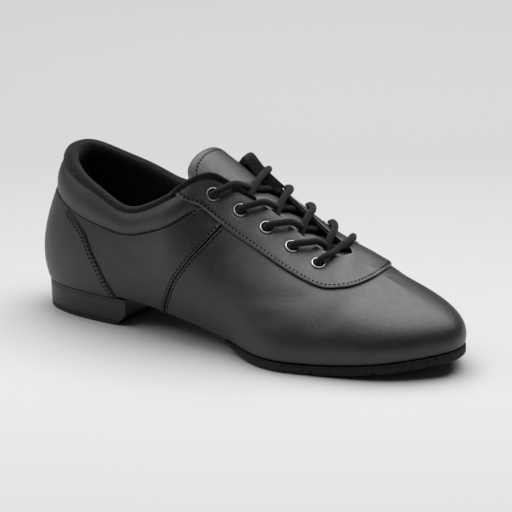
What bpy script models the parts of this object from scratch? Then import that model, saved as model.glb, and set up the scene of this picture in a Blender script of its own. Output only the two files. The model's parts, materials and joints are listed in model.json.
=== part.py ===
"""A low-heeled, lace-up jazz shoe for the right foot, standing on its heel and forefoot.

+X points to the toe, +Y to the medial side and +Z up. The origin is the centre of the
heel's rest face, on the floor. Every size is in metres, and every angle in degrees.
"""

import math
from collections import namedtuple

import bmesh
import bpy
import numpy as np
from mathutils import Matrix, Vector

# Driving sizes of the last and the upper, with heights measured from the floor
LENGTH = 0.2740  # heel back to toe tip, along the line where upper meets sole
HEEL_WIDTH = 0.062
BALL_WIDTH = 0.100
BACK_HEIGHT = 0.0950  # topline at the back
SIDE_HEIGHT = 0.0725  # lowest point of the collar
INSTEP_HEIGHT = 0.0972  # top corner of the facings
VAMP_HEIGHT = 0.0550  # ridge just ahead of the throat
WALL = 0.0018  # leather and lining together
JOINT_GAP = 0.0003  # between pieces that touch
FOLLOW_GAP = 0.0005  # between the upper and what follows its curves

# The bottom
HEEL_HEIGHT = 0.0166  # floor to heel seat
HEEL_TIP = 0.0026
HEEL_TAPER = 0.0008
BREAST = 0.252  # share of LENGTH where the heel's front face stands
BREAST_CHAMFER = 0.0070
SOLE_THICKNESS = 0.0055
SOLE_REAR_THICKNESS = 0.0018
SOLE_EDGE = 0.0006  # how far the sole stands out past the upper
SOLE_FROM = 8.7  # place round the shoe where the forefoot sole starts
SOLE_REAR_ARC = 0.010  # how far the middle of its rear edge reaches back
GROOVES = (0.752, 0.877)  # shares of LENGTH where the sole's flex grooves cross it
GROOVE_WIDTH = 0.0022
GROOVE_DEPTH = 0.0014
LASTED_SHUT = 0.98  # share of the way to the middle that the waist's margins reach
INSOLE_THICKNESS = 0.0025
INSOLE_ROOM = 0.0012  # between insole and wall
TOE_SPRING = 0.0090
ARCH_FROM, ARCH_TO = 0.22, 0.625  # shares of LENGTH between which the waist comes down
ARCH_RISE = 0.0035  # how much higher the medial side of the waist is
SPRING_FROM, SPRING_POWER = 0.70, 1.8

# A row for each section of the last, from the heel round to the toe. The first columns place
# the foot line, where upper meets sole, and the top columns place the topline, the facing's
# edge or the vamp's ridge. stay is the share of the way up where the eyestay's edge runs.
Station = namedtuple(
    "Station",
    "along lateral medial width top_along top_lateral top_medial height top"
    " flare low crown high ridge tilt under spine stay",
)
STATIONS = [
    Station(.000, .00, .00, "heel", .049, .00, .00, "back", 1.000, 20, .35, 76, .34, 0, 0, .46, .130, 1.0),
    Station(.020, .52, .52, "heel", .064, .42, .42, "back", .985, 20, .35, 76, .34, 0, 0, .46, .135, 1.0),
    Station(.076, .86, .86, "heel", .116, .78, .78, "back", .905, 19, .34, 78, .34, 0, 0, .46, .145, 1.0),
    Station(.160, 1.00, .99, "heel", .187, .97, .97, "side", 1.083, 18, .34, 80, .34, 0, 0, .60, .180, 1.0),
    Station(.247, 1.02, .98, "heel", .260, 1.06, 1.04, "side", 1.000, 18, .34, 80, .34, 0, 0, .96, .247, 1.0),
    Station(.327, 1.03, .93, "heel", .330, 1.10, 1.08, "side", 1.083, 22, .34, 76, .34, 0, 0, .965, .327, 1.0),
    Station(.392, .67, .56, "ball", .388, .66, .66, "instep", .908, 26, .34, 66, .34, 0, 0, .98, .392, .985),
    Station(.443, .69, .58, "ball", .429, .44, .50, "instep", 1.000, 27, .34, 54, .34, 0, 0, .98, .443, .810),
    Station(.488, .73, .63, "ball", .461, .28, .42, "instep", .958, 26, .34, 42, .34, 0, 0, .95, .488, .755),
    Station(.537, .80, .71, "ball", .515, .19, .36, "instep", .872, 23, .34, 32, .35, 0, 0, .74, .537, .723),
    Station(.599, .95, .82, "ball", .581, .13, .33, "instep", .766, 19, .33, 24, .37, 0, 1, .46, .599, .705),
    Station(.666, 1.04, .91, "ball", .653, .08, .29, "instep", .639, 17, .33, 14, .40, 0, 6, .34, .660, .680),
    Station(.730, .98, .92, "ball", .710, .01, .23, "instep", .572, 17, .33, 8, .42, 12, 9, .34, .712, .645),
    Station(.790, .895, .87, "ball", .730, -.13, .13, "vamp", 1.000, 18, .34, 0, .44, 26, 8, .34, .752, .610),
    Station(.845, .80, .80, "ball", .755, -.13, .13, "vamp", .934, 19, .34, 0, .45, 24, 7, .36, .782, .740),
    Station(.896, .67, .700, "ball", .779, -.13, .13, "vamp", .888, 19, .34, 0, .46, 22, 7, .36, .802, .890),
    Station(.938, .50, .575, "ball", .797, -.13, .13, "vamp", .858, 18, .34, 0, .48, 20, 6, .36, .817, 1.0),
    Station(.969, .33, .410, "ball", .810, -.13, .13, "vamp", .842, 17, .34, 0, .50, 19, 5, .36, .827, 1.0),
    Station(.992, .16, .210, "ball", .818, -.12, .12, "vamp", .833, 16, .34, 0, .51, 18, 4, .36, .833, 1.0),
    Station(1.000, -.01, .010, "ball", .822, -.12, .12, "vamp", .830, 16, .34, 0, .52, 18, 4, .36, .835, 1.0),
]
HALF_WIDTHS = {"heel": HEEL_WIDTH / 2, "ball": BALL_WIDTH / 2}
HEIGHTS = {"back": BACK_HEIGHT, "side": SIDE_HEIGHT, "instep": INSTEP_HEIGHT, "vamp": VAMP_HEIGHT}
LAST = len(STATIONS) - 1  # the toe's row
LOOP = 2 * LAST  # sections once round the shoe
HEEL_REST_CENTRE = 0.1135  # the origin's place, as a share of LENGTH from the heel's back
STEPS = 2  # columns of faces in each section
ROWS = (0.0, 0.08, 0.19, 0.32, 0.46, 0.60, 0.735, 0.82, 0.90, 1.0)  # rows of faces, as shares of the way up
DENSE = 33  # points worked out along each section's curve
CLOSED_FROM = 13.0  # the place round the shoe where the throat ends and the ridge starts

# The collar, padded above its stitched line
COLLAR_LINE = 0.735  # share of the way up where the stitched line runs
COLLAR_BULGE = 0.0016  # how far the pad pushes the leather out
COLLAR_END = 7.3  # place round the shoe where the eyestay takes over from the collar
PAD_THICKNESS = 0.0040
LINING_ROOM = 0.0007  # between the leather and its lining, which follow tight curves
PAD_DEPTH = 0.026  # how far the lining reaches down inside
ROLL_HEIGHT = 0.0024  # how far the lining rolls up over the leather's edge
BEAD_END = 8.5  # place round the shoe where the lining's edge dies out on the facing

# The eyestay, the counter and the eyelets
EYESTAY_FROM, EYESTAY_TIP = 6.0, 16.0  # places round the shoe
EYESTAY_THICKNESS = 0.0012
COUNTER_THICKNESS = 0.0009
EYELETS = 5  # on each side
EYELET_FROM, EYELET_TO = 7.75, 11.5  # places round the shoe of the first and the last
EYELET_INSET = 0.0108  # facing's edge to an eyelet's middle
EYELET_RADIUS = 0.0041
EYELET_BORE = 0.0024
EYELET_BARREL = 0.0029
EYELET_RIM = 0.0011
HOLE_CLEARANCE = 0.0003

# Where the counter's seam runs: a share of the way up, and the place round the shoe
Seam = namedtuple("Seam", "up place")
COUNTER_SEAM = [
    Seam(0.015, 3.75), Seam(0.200, 3.49), Seam(0.333, 3.27), Seam(0.475, 2.97),
    Seam(0.600, 2.61), Seam(0.650, 2.25), Seam(0.700, 1.78), Seam(COLLAR_LINE, 1.30),
]

# The tongue and the laces
TONGUE_THICKNESS = 0.0022
TONGUE_UNDERLAP = 0.014  # how far it reaches under each facing
TONGUE_FROM, TONGUE_TO = 8.3, 12.85  # places round the shoe that it covers under the facings
TONGUE_RISE = 0.029  # how far it stands above the facings
TONGUE_ROOM = 0.0018  # how far it lies below the facings at the top
Taper = namedtuple("Taper", "rise width arch")  # a row for each section above the facings
TONGUE_TOP = [
    Taper(1.00, 0.58, 0.74), Taper(0.955, 0.95, 0.84), Taper(0.84, 1.01, 1.10),
    Taper(0.55, 1.04, 1.15), Taper(0.27, 1.03, 1.10),
]
LACE_RADIUS = 0.0018


def smooth_step(value):
    """Ease from 0 to 1 as value goes from 0 to 1."""
    value = np.clip(value, 0.0, 1.0)
    return value * value * (3.0 - 2.0 * value)


def unit(vectors):
    """Scale each vector to length one."""
    return vectors / np.maximum(np.linalg.norm(vectors, axis=-1, keepdims=True), 1e-9)


def closed_spline(values, u):
    """Read a smooth closed curve through values, which stand one apart, at the places u."""
    values = np.asarray(values, dtype=float)
    count = len(values)
    matrix = 4.0 * np.eye(count) + np.roll(np.eye(count), 1, axis=1) + np.roll(np.eye(count), -1, axis=1)
    bends = np.linalg.solve(matrix, 6.0 * (np.roll(values, 1) - 2.0 * values + np.roll(values, -1)))
    u = np.mod(u, count)
    low = np.floor(u).astype(int) % count
    high = (low + 1) % count
    b = u - np.floor(u)
    a = 1.0 - b
    curve = a * values[low] + b * values[high]
    return curve + ((a**3 - a) * bends[low] + (b**3 - b) * bends[high]) / 6.0


def around(read):
    """List a value for each station once round the shoe, lateral side first, then medial."""
    lateral = [read(row, -1) for row in STATIONS]
    medial = [read(row, 1) for row in STATIONS[-2:0:-1]]
    return lateral + medial


def column(name, u):
    """Read one of the table's columns at the places u round the shoe."""
    return closed_spline(around(lambda row, side: getattr(row, name)), u)


def bottom(x, y):
    """Height of the foot line, from the heel seat through the arch to the toe spring."""
    share = (x + HEEL_REST_CENTRE * LENGTH) / LENGTH
    drop = smooth_step((share - ARCH_FROM) / (ARCH_TO - ARCH_FROM))
    seat = HEEL_HEIGHT + (SOLE_THICKNESS - HEEL_HEIGHT) * drop
    spring = TOE_SPRING * np.clip((share - SPRING_FROM) / (1.0 - SPRING_FROM), 0.0, 1.2) ** SPRING_POWER
    arch = ARCH_RISE * 4.0 * drop * (1.0 - drop) * np.clip(y / (HEEL_WIDTH / 2), 0.0, 1.0) ** 2
    return JOINT_GAP + seat + spring + arch


def foot_line(u):
    """Points of the line where upper meets sole."""
    x = closed_spline(around(lambda row, side: row.along * LENGTH), u) - HEEL_REST_CENTRE * LENGTH
    y = closed_spline(around(lambda row, side: side * HALF_WIDTHS[row.width]
                             * (row.medial if side > 0 else row.lateral)), u)
    return np.stack([x, y, bottom(x, y)], axis=-1)


def top_breadth(u):
    """How far to the side the topline, facing's edge or ridge lies."""
    return closed_spline(around(lambda row, side: side * HALF_WIDTHS[row.width]
                                * (row.top_medial if side > 0 else row.top_lateral)), u)


def top_line(u):
    """Points of the topline, then the facings' edges, then the vamp's ridge."""
    x = closed_spline(around(lambda row, side: row.top_along * LENGTH), u) - HEEL_REST_CENTRE * LENGTH
    y = top_breadth(u)
    place = np.mod(u, LOOP)
    both = (y + top_breadth(-u)) / 2
    y = np.where((place >= CLOSED_FROM) & (place <= LOOP - CLOSED_FROM), both, y)
    z = closed_spline(around(lambda row, side: row.top * HEIGHTS[row.height]), u)
    z = z + y * np.tan(np.radians(column("tilt", u)))
    return np.stack([x, y, z], axis=-1)


def outward(u):
    """Level directions that point out of the foot line."""
    ahead = foot_line(u + 0.02) - foot_line(u - 0.02)
    return unit(np.stack([ahead[:, 1], -ahead[:, 0], np.zeros(len(u))], axis=-1))


def sections(u):
    """Curves from the foot line up to the topline, facing's edge or ridge, one for each u."""
    foot, top, out = foot_line(u), top_line(u), outward(u)
    level = np.array([1.0, 1.0, 0.0])
    upright = np.array([0.0, 0.0, 1.0])
    away = unit(out * HEEL_WIDTH / 3 + (foot - top) * level)
    flare, crown, ridge, tilt = (np.radians(column(name, u))[:, None]
                                 for name in ("flare", "crown", "ridge", "tilt"))
    low, high = (column(name, u)[:, None] for name in ("low", "high"))
    reach = np.linalg.norm(top - foot, axis=-1, keepdims=True)
    rising = out * np.sin(flare) + upright * np.cos(flare)
    climb = np.sin(crown) + away[:, :1] * np.tan(ridge) - away[:, 1:2] * np.tan(tilt)
    arriving = unit(-away * np.cos(crown) + upright * climb)
    lower_handle = foot + low * reach * rising
    upper_handle = top - high * reach * arriving
    t = np.linspace(0.0, 1.0, DENSE)[None, :, None]
    curves = ((1 - t)**3 * foot[:, None] + 3 * (1 - t)**2 * t * lower_handle[:, None]
              + 3 * (1 - t) * t**2 * upper_handle[:, None] + t**3 * top[:, None])
    length = np.cumsum(np.linalg.norm(np.diff(curves, axis=1), axis=-1), axis=1)
    length = np.concatenate([np.zeros((len(u), 1)), length], axis=1)
    place = np.minimum(np.mod(u, LOOP), LOOP - np.mod(u, LOOP))[:, None]
    padded = smooth_step((COLLAR_END - place) / 1.0)
    fall = np.clip((1.0 - length / length[:, -1:]) / (1.0 - COLLAR_LINE), 0.0, 1.0)
    puff = COLLAR_BULGE * padded * np.sin(np.pi * fall**0.8)
    return curves + puff[..., None] * away[:, None], length


def skin(u, share):
    """Points of the upper's outer face, at shares of the way up each section."""
    curves, length = sections(u)
    wanted = share * length[:, -1]
    read = [[np.interp(want, run, curve[:, axis]) for axis in range(3)]
            for want, run, curve in zip(wanted, length, curves)]
    return np.array(read)


def skin_normal(u, share):
    """Outward normals of the upper's face, the same for both sides where they meet on the ridge."""
    inner = np.clip(share, 0.01, 0.985)
    across = skin(u + 0.02, inner) - skin(u - 0.02, inner)
    upward = skin(u, inner + 0.01) - skin(u, inner - 0.01)
    return unit(np.cross(across, upward))


def surface(u, share, lift=0.0):
    """Points at a height above the upper's outer face; a negative lift goes into the wall."""
    u, share, lift = np.broadcast_arrays(np.asarray(u, float), np.asarray(share, float), lift)
    shape = u.shape
    u, share, lift = u.ravel(), share.ravel(), lift.ravel()[:, None]
    normal = skin_normal(u, share)
    ridge = (share > 0.999) & (u >= CLOSED_FROM) & (u <= LOOP - CLOSED_FROM)
    if ridge.any():
        normal[ridge] = unit(normal[ridge] + skin_normal(LOOP - u[ridge], share[ridge]))
    return (skin(u, share) + normal * lift).reshape(*shape, 3)


def section_length(u):
    """Length of each section from the foot line to its top."""
    return sections(np.asarray(u, float))[1][:, -1]


def sheet(points):
    """Make an open bmesh of quads through a grid of points, and weld what coincides."""
    bm = bmesh.new()
    verts = [[bm.verts.new(point) for point in line] for line in points]
    for line, following in zip(verts, verts[1:]):
        for corner in range(len(line) - 1):
            bm.faces.new((line[corner], following[corner], following[corner + 1], line[corner + 1]))
    bmesh.ops.remove_doubles(bm, verts=bm.verts, dist=1e-6)
    bmesh.ops.dissolve_degenerate(bm, edges=bm.edges, dist=1e-6)
    return bm


def ring_loft(rings):
    """Make a closed bmesh that skins a row of closed rings and caps both ends."""
    bm = bmesh.new()
    loops = [[bm.verts.new(point) for point in ring] for ring in rings]
    for ring, following in zip(loops, loops[1:]):
        for corner in range(len(ring)):
            after = (corner + 1) % len(ring)
            bm.faces.new((ring[corner], following[corner], following[after], ring[after]))
    bm.faces.new(loops[0])
    bm.faces.new(loops[-1])
    bmesh.ops.remove_doubles(bm, verts=bm.verts, dist=1e-6)
    bmesh.ops.dissolve_degenerate(bm, edges=bm.edges, dist=1e-6)
    bmesh.ops.recalc_face_normals(bm, faces=bm.faces)
    return bm


def add_material(piece, color, roughness, metallic=0.0):
    """Give a piece a material of its own."""
    material = bpy.data.materials.new(piece.name)
    material.use_nodes = True
    shader = material.node_tree.nodes["Principled BSDF"]
    shader.inputs["Base Color"].default_value = (*color, 1.0)
    shader.inputs["Roughness"].default_value = roughness
    shader.inputs["Metallic"].default_value = metallic
    piece.data.materials.append(material)


def finish_piece(name, bm, collection, color=(0.02, 0.02, 0.02), roughness=0.5, metallic=0.0):
    """Turn a bmesh into a named object with its own material."""
    mesh = bpy.data.meshes.new(name)
    bm.to_mesh(mesh)
    bm.free()
    mesh.shade_smooth()
    mesh.set_sharp_from_angle(angle=math.radians(40))
    piece = bpy.data.objects.new(name, mesh)
    collection.objects.link(piece)
    add_material(piece, color, roughness, metallic)
    return piece


def add_wall(piece, thickness):
    """Give an open sheet its thickness, on the side away from its normals."""
    wall = piece.modifiers.new("wall", "SOLIDIFY")
    wall.thickness = thickness
    wall.offset = -1.0
    wall.use_even_offset = True


def cut_with(piece, cutter):
    """Cut one object out of another."""
    cut = piece.modifiers.new("cut " + cutter.name, "BOOLEAN")
    cut.operation = "DIFFERENCE"
    cut.solver = "EXACT"
    cut.object = cutter


def add_upper(collection, holes):
    """Make the hollow leather upper, open at collar and throat, its margins lasted under."""
    u = np.arange(LOOP * STEPS + 1) / STEPS
    outer = surface(u[:, None], np.array(ROWS)[None, :])
    foot = outer[:, 0]
    under = np.minimum(column("under", u), LASTED_SHUT)[:, None]
    margin = [foot + (spine_line(u) - foot) * under * share for share in (1.0, 0.5)]
    for line in margin:
        line[:, 2] = bottom(line[:, 0], line[:, 1])
    bm = sheet(np.concatenate([np.stack(margin, axis=1), outer], axis=1))
    upper = finish_piece("upper", bm, collection, (0.018, 0.018, 0.019), 0.42)
    add_wall(upper, WALL)
    cut_with(upper, holes)


def spine_line(u):
    """Points on the middle line of the bottom that each margin runs towards."""
    x = column("spine", u) * LENGTH - HEEL_REST_CENTRE * LENGTH
    return np.stack([x, 0 * x, bottom(x, 0 * x)], axis=-1)


def slab(outline, inset, spine, top, low, low_inset=0.0, whole=False):
    """Make a plate under or over the foot line, from its outline in to the spine."""
    inward = -outward(outline)
    foot = foot_line(outline)
    grids = []
    for height, extra in ((top, 0.0), (low, low_inset)):
        edge = foot + inward * (inset + extra)
        grid = np.stack([edge + (spine - edge) * share for share in (0.0, 0.4, 1.0)], axis=1)
        grid[..., 2] = height(grid[..., 0], grid[..., 1])
        grids.append(grid)
    bm = bmesh.new()
    upper, lower = ([[bm.verts.new(point) for point in line] for line in grid] for grid in grids)
    for i in range(len(outline) - 1):
        bm.faces.new((upper[i][0], lower[i][0], lower[i + 1][0], upper[i + 1][0]))
        for j in range(2):
            for side in (upper, lower):
                bm.faces.new((side[i][j], side[i + 1][j], side[i + 1][j + 1], side[i][j + 1]))
    if not whole:
        for i in (0, -1):
            for j in range(2):
                bm.faces.new((upper[i][j], upper[i][j + 1], lower[i][j + 1], lower[i][j]))
    bmesh.ops.remove_doubles(bm, verts=bm.verts, dist=1e-6)
    bmesh.ops.dissolve_degenerate(bm, edges=bm.edges, dist=1e-6)
    bmesh.ops.recalc_face_normals(bm, faces=bm.faces)
    return bm


def slice_off(bm, point, normal):
    """Cut away all that lies past a plane, and close the cut."""
    everything = bm.verts[:] + bm.edges[:] + bm.faces[:]
    bmesh.ops.bisect_plane(bm, geom=everything, plane_co=point, plane_no=normal, clear_outer=True, dist=1e-7)
    bmesh.ops.holes_fill(bm, edges=[edge for edge in bm.edges if edge.is_boundary])
    bmesh.ops.recalc_face_normals(bm, faces=bm.faces)


def heel_block():
    """Make the whole heel, tapered, with its front lower corner cut off at a slant."""
    u = np.arange(-5 * STEPS + 1, 5 * STEPS) / STEPS
    block = slab(u, -SOLE_EDGE, spine_line(u), lambda x, y: bottom(x, y) - JOINT_GAP,
                 lambda x, y: 0 * x, low_inset=HEEL_TAPER)
    breast = (BREAST - HEEL_REST_CENTRE) * LENGTH
    slice_off(block, (breast, 0, 0), (1, 0, 0))
    slice_off(block, (breast, 0, BREAST_CHAMFER), (1, 0, -1))
    return block


def add_heel(collection):
    """Make the heel block."""
    block = heel_block()
    slice_off(block, (0, 0, HEEL_TIP + JOINT_GAP), (0, 0, -1))
    finish_piece("heel", block, collection, (0.02, 0.02, 0.021), 0.5)


def add_heel_tip(collection):
    """Make the thin rubber lift under the heel."""
    block = heel_block()
    slice_off(block, (0, 0, HEEL_TIP), (0, 0, 1))
    finish_piece("heel_tip", block, collection, (0.012, 0.012, 0.012), 0.7)


def add_outsole(collection, cutters):
    """Make the forefoot sole, feathered at the rear, flat at the ball and sprung at the toe."""
    whole = np.arange(9.0 * STEPS, (LOOP - 9.0) * STEPS + 1) / STEPS
    u = np.concatenate([[SOLE_FROM], whole, [LOOP - SOLE_FROM]])
    place = np.minimum(u, LOOP - u)
    spine = spine_line(u)
    spine[:, 0] -= SOLE_REAR_ARC * smooth_step(1.0 - (place - SOLE_FROM) / 2.0)
    start = STATIONS[9].along

    def top(x, y):
        return bottom(x, y) - JOINT_GAP

    def low(x, y):
        share = x / LENGTH + HEEL_REST_CENTRE
        growth = smooth_step((share - start + 0.05) / (ARCH_TO - start + 0.05))
        flat = bottom(x, 0 * y) - JOINT_GAP
        return flat - SOLE_REAR_THICKNESS - (SOLE_THICKNESS - SOLE_REAR_THICKNESS) * growth

    bm = slab(u, -SOLE_EDGE, spine, top, low)
    outsole = finish_piece("outsole", bm, collection, (0.015, 0.015, 0.015), 0.9)
    for number, share in enumerate(GROOVES, 1):
        x = (share - HEEL_REST_CENTRE) * LENGTH
        rise = [float(low(np.array(place), np.array(0.0))) for place in (x - 0.002, x + 0.002)]
        groove = bmesh.new()
        bmesh.ops.create_cube(groove, size=1.0)
        bmesh.ops.scale(groove, vec=(GROOVE_WIDTH, 1.5 * BALL_WIDTH, 2 * GROOVE_DEPTH), verts=groove.verts)
        bmesh.ops.rotate(groove, cent=(0, 0, 0), verts=groove.verts,
                         matrix=Matrix.Rotation(-math.atan2(rise[1] - rise[0], 0.004), 3, "Y"))
        bmesh.ops.translate(groove, vec=(x, 0, sum(rise) / 2), verts=groove.verts)
        cut_with(outsole, finish_cutter(f"flex groove {number}", groove, cutters))


def add_insole(collection):
    """Make the insole that closes the upper from inside."""
    u = np.arange(LOOP * STEPS + 1) / STEPS
    floor = WALL + 2 * JOINT_GAP
    bm = slab(u, WALL + INSOLE_ROOM, spine_line(u), lambda x, y: bottom(x, y) + floor + INSOLE_THICKNESS,
              lambda x, y: bottom(x, y) + floor, whole=True)
    finish_piece("insole", bm, collection, (0.03, 0.03, 0.03), 0.8)


def add_eyestay(collection, holes):
    """Make the U-shaped stay that carries the eyelets and closes round the throat's front."""
    half = np.concatenate([np.arange(EYESTAY_FROM * STEPS, EYESTAY_TIP * STEPS) / STEPS,
                           [EYESTAY_TIP - 0.25, EYESTAY_TIP]])
    u = np.concatenate([half, LOOP - half[::-1]])
    share = np.clip(column("stay", u)[:, None], ROWS[5:], 1.0)
    share[np.isclose(u, EYESTAY_TIP) | np.isclose(u, LOOP - EYESTAY_TIP)] = 1.0
    bm = sheet(surface(u[:, None], share, FOLLOW_GAP + EYESTAY_THICKNESS))
    eyestay = finish_piece("eyestay", bm, collection, (0.018, 0.018, 0.019), 0.42)
    add_wall(eyestay, EYESTAY_THICKNESS)
    cut_with(eyestay, holes)


def add_counter(collection):
    """Make the stitched-on counter that wraps the back of the heel."""
    low = np.clip(ROWS[:7], COUNTER_SEAM[0].up, COLLAR_LINE)
    ups = np.union1d(low, [seam.up for seam in COUNTER_SEAM[-4:]])
    places = np.interp(ups, [seam.up for seam in COUNTER_SEAM], [seam.place for seam in COUNTER_SEAM])
    turns = np.arange(-4 * STEPS, 4 * STEPS + 1) / STEPS
    u = np.clip(turns[:, None], -places[None, :], places[None, :])
    bm = sheet(surface(u, ups[None, :], FOLLOW_GAP + COUNTER_THICKNESS))
    counter = finish_piece("counter", bm, collection, (0.018, 0.018, 0.019), 0.42)
    add_wall(counter, COUNTER_THICKNESS)


def add_collar_lining(collection):
    """Make the padded lining inside the collar, rolled up over the leather's edge."""
    u = np.arange(-BEAD_END * STEPS, BEAD_END * STEPS + 1) / STEPS
    place = np.abs(u)
    full = smooth_step((COLLAR_END - 0.4 - place) / 3.0)
    pad = PAD_THICKNESS * (0.22 + 0.78 * full)
    depth = PAD_DEPTH * (0.12 + 0.88 * full)
    roll = ROLL_HEIGHT * (0.45 + 0.55 * full)
    length = section_length(u)
    wall = WALL + LINING_ROOM
    top = surface(u, np.ones_like(u))
    normal = skin_normal(u, np.full_like(u, 0.985))
    rise = unit(np.cross(normal, surface(u + 0.02, np.ones_like(u)) - surface(u - 0.02, np.ones_like(u))))
    lowest = 1.0 - depth / length

    def inside(share, lift):
        return surface(u, np.maximum(share, lowest), lift)

    def above(up, lift):
        return top + rise * up[:, None] + normal * (lift + 0 * up)[:, None]

    gap = LINING_ROOM + 0 * u
    ring = [inside(share, -wall) for share in (0.0, *ROWS[6:])] + [
        above(gap, -wall),
        above(gap, -0.5 * wall), above(0.7 * roll, -0.1 * wall), above(roll, -0.45 * wall),
        above(0.8 * roll, -wall - 0.4 * pad), inside(0.97, -wall - pad),
        inside(0.86, -wall - 0.85 * pad), inside(0.0, -wall - 0.3 * pad),
    ]
    bm = ring_loft(np.stack(ring, axis=1))
    finish_piece("collar_lining", bm, collection, (0.01, 0.01, 0.011), 0.95)


def tongue_section(u):
    """Points across the tongue's upper face at one place, from the lateral edge to the medial."""
    lift = -(WALL + JOINT_GAP + TONGUE_ROOM * float(smooth_step((TONGUE_TO - u) / 2.0)))
    sides = []
    for place in (u, LOOP - u):
        length = section_length([place])[0]
        down = np.array([1.0, 0.65, 0.3]) * TONGUE_UNDERLAP
        sides.append(surface(np.full(3, float(place)), 1.0 - down / length, lift))
    lateral, medial = sides
    chord = np.linalg.norm(medial[-1] - lateral[-1]) / 3
    handle = lateral[-1] + unit(lateral[-1] - lateral[-2]) * chord
    other = medial[-1] + unit(medial[-1] - medial[-2]) * chord
    t = np.array([0.2, 0.4, 0.6, 0.8])[:, None]
    arc = ((1 - t)**3 * lateral[-1] + 3 * (1 - t)**2 * t * handle
           + 3 * (1 - t) * t**2 * other + t**3 * medial[-1])
    return np.concatenate([lateral, arc, medial[::-1]])


def tongue_lines():
    """Sections of the tongue from its rounded top down to its seat under the vamp."""
    under = [tongue_section(u) for u in np.linspace(TONGUE_FROM, TONGUE_TO, 10)]
    base = under[0]
    middle = base.mean(axis=0)
    rise = unit(middle - under[1].mean(axis=0))
    top = [middle + (base - middle) * (taper.width, taper.width, taper.arch) + rise * TONGUE_RISE * taper.rise
           for taper in TONGUE_TOP]
    return np.array(top + under)


def add_tongue(collection):
    """Make the tongue that lies under the facings and stands up at the instep."""
    bm = sheet(tongue_lines())
    tongue = finish_piece("tongue", bm, collection, (0.02, 0.02, 0.021), 0.45)
    add_wall(tongue, TONGUE_THICKNESS)


def eyelet_places(side):
    """Places round the shoe of one side's eyelets, evenly spaced, and their shares of the way up."""
    fine = np.linspace(EYELET_FROM, EYELET_TO, 60)
    if side > 0:
        fine = LOOP - fine
    share = 1.0 - EYELET_INSET / section_length(fine)
    path = surface(fine, share)
    run = np.concatenate([[0.0], np.cumsum(np.linalg.norm(np.diff(path, axis=0), axis=1))])
    wanted = np.linspace(0.0, run[-1], EYELETS)
    return np.interp(wanted, run, fine), np.interp(wanted, run, share)


def eyelet_frames(side):
    """Middle and outward normal of each eyelet's seat on the upper."""
    places, shares = eyelet_places(side)
    return surface(places, shares), skin_normal(places, shares)


def turned(profile, middle, axis, segments=10):
    """Spin a closed profile of (radius, height) points round an axis through middle."""
    bm = bmesh.new()
    verts = [bm.verts.new((radius, 0, height)) for radius, height in profile]
    edges = [bm.edges.new((a, b)) for a, b in zip(verts, verts[1:] + verts[:1])]
    bmesh.ops.spin(bm, geom=verts + edges, cent=(0, 0, 0), axis=(0, 0, 1), angle=2 * math.pi,
                   steps=segments, use_merge=True)
    bmesh.ops.remove_doubles(bm, verts=bm.verts, dist=1e-6)
    bmesh.ops.recalc_face_normals(bm, faces=bm.faces)
    turn = Vector((0, 0, 1)).rotation_difference(Vector(axis)).to_matrix().to_4x4()
    bmesh.ops.transform(bm, matrix=Matrix.Translation(Vector(middle)) @ turn, verts=bm.verts)
    return bm


def add_eyelets(collection):
    """Make the ten metal eyelets, each a flange on the eyestay and a barrel through the hole."""
    seat = FOLLOW_GAP + EYESTAY_THICKNESS + JOINT_GAP
    profile = [(EYELET_BORE, -WALL), (EYELET_BARREL, -WALL), (EYELET_BARREL, seat), (EYELET_RADIUS, seat),
               (EYELET_BARREL * 1.1, seat + EYELET_RIM), (EYELET_BORE, seat + EYELET_RIM * 0.6)]
    for side, name in ((-1, "lateral"), (1, "medial")):
        for number, (middle, normal) in enumerate(zip(*eyelet_frames(side)), 1):
            bm = turned(profile, middle, normal)
            finish_piece(f"eyelet_{name}_{number}", bm, collection, (0.03, 0.03, 0.032), 0.3, 0.9)


def eyelet_holes(cutters):
    """Make the cutter for all ten eyelet holes."""
    holes = bmesh.new()
    radius = EYELET_BARREL + HOLE_CLEARANCE
    reach = 2 * (WALL + EYESTAY_THICKNESS)
    for side in (-1, 1):
        for middle, normal in zip(*eyelet_frames(side)):
            turn = Vector((0, 0, 1)).rotation_difference(Vector(normal)).to_matrix().to_4x4()
            bmesh.ops.create_cone(holes, cap_ends=True, segments=10, radius1=radius, radius2=radius,
                                  depth=2 * reach, matrix=Matrix.Translation(Vector(middle)) @ turn)
    return finish_cutter("eyelet holes", holes, cutters)


def finish_cutter(name, bm, cutters):
    """Turn a bmesh into a cutter, which doesn't render."""
    mesh = bpy.data.meshes.new(name)
    bm.to_mesh(mesh)
    bm.free()
    cutter = bpy.data.objects.new(name, mesh)
    cutter.hide_render = True
    cutter.display_type = "WIRE"
    cutters.objects.link(cutter)
    return cutter


def tube(points, radius):
    """Skin a smooth cord through points and weld its caps."""
    curve = bpy.data.curves.new("cord", "CURVE")
    curve.dimensions = "3D"
    curve.bevel_depth = radius
    curve.bevel_resolution = 2
    curve.use_fill_caps = True
    spline = curve.splines.new("POLY")
    spline.points.add(len(points) - 1)
    for spot, point in zip(spline.points, points):
        spot.co = (*point, 1.0)
    guide = bpy.data.objects.new("cord", curve)
    bpy.context.scene.collection.objects.link(guide)
    mesh = bpy.data.meshes.new_from_object(guide.evaluated_get(bpy.context.evaluated_depsgraph_get()))
    bpy.data.objects.remove(guide, do_unlink=True)
    bm = bmesh.new()
    bm.from_mesh(mesh)
    bpy.data.meshes.remove(mesh)
    bmesh.ops.remove_doubles(bm, verts=bm.verts, dist=1e-6)
    bmesh.ops.recalc_face_normals(bm, faces=bm.faces)
    return bm


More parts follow.
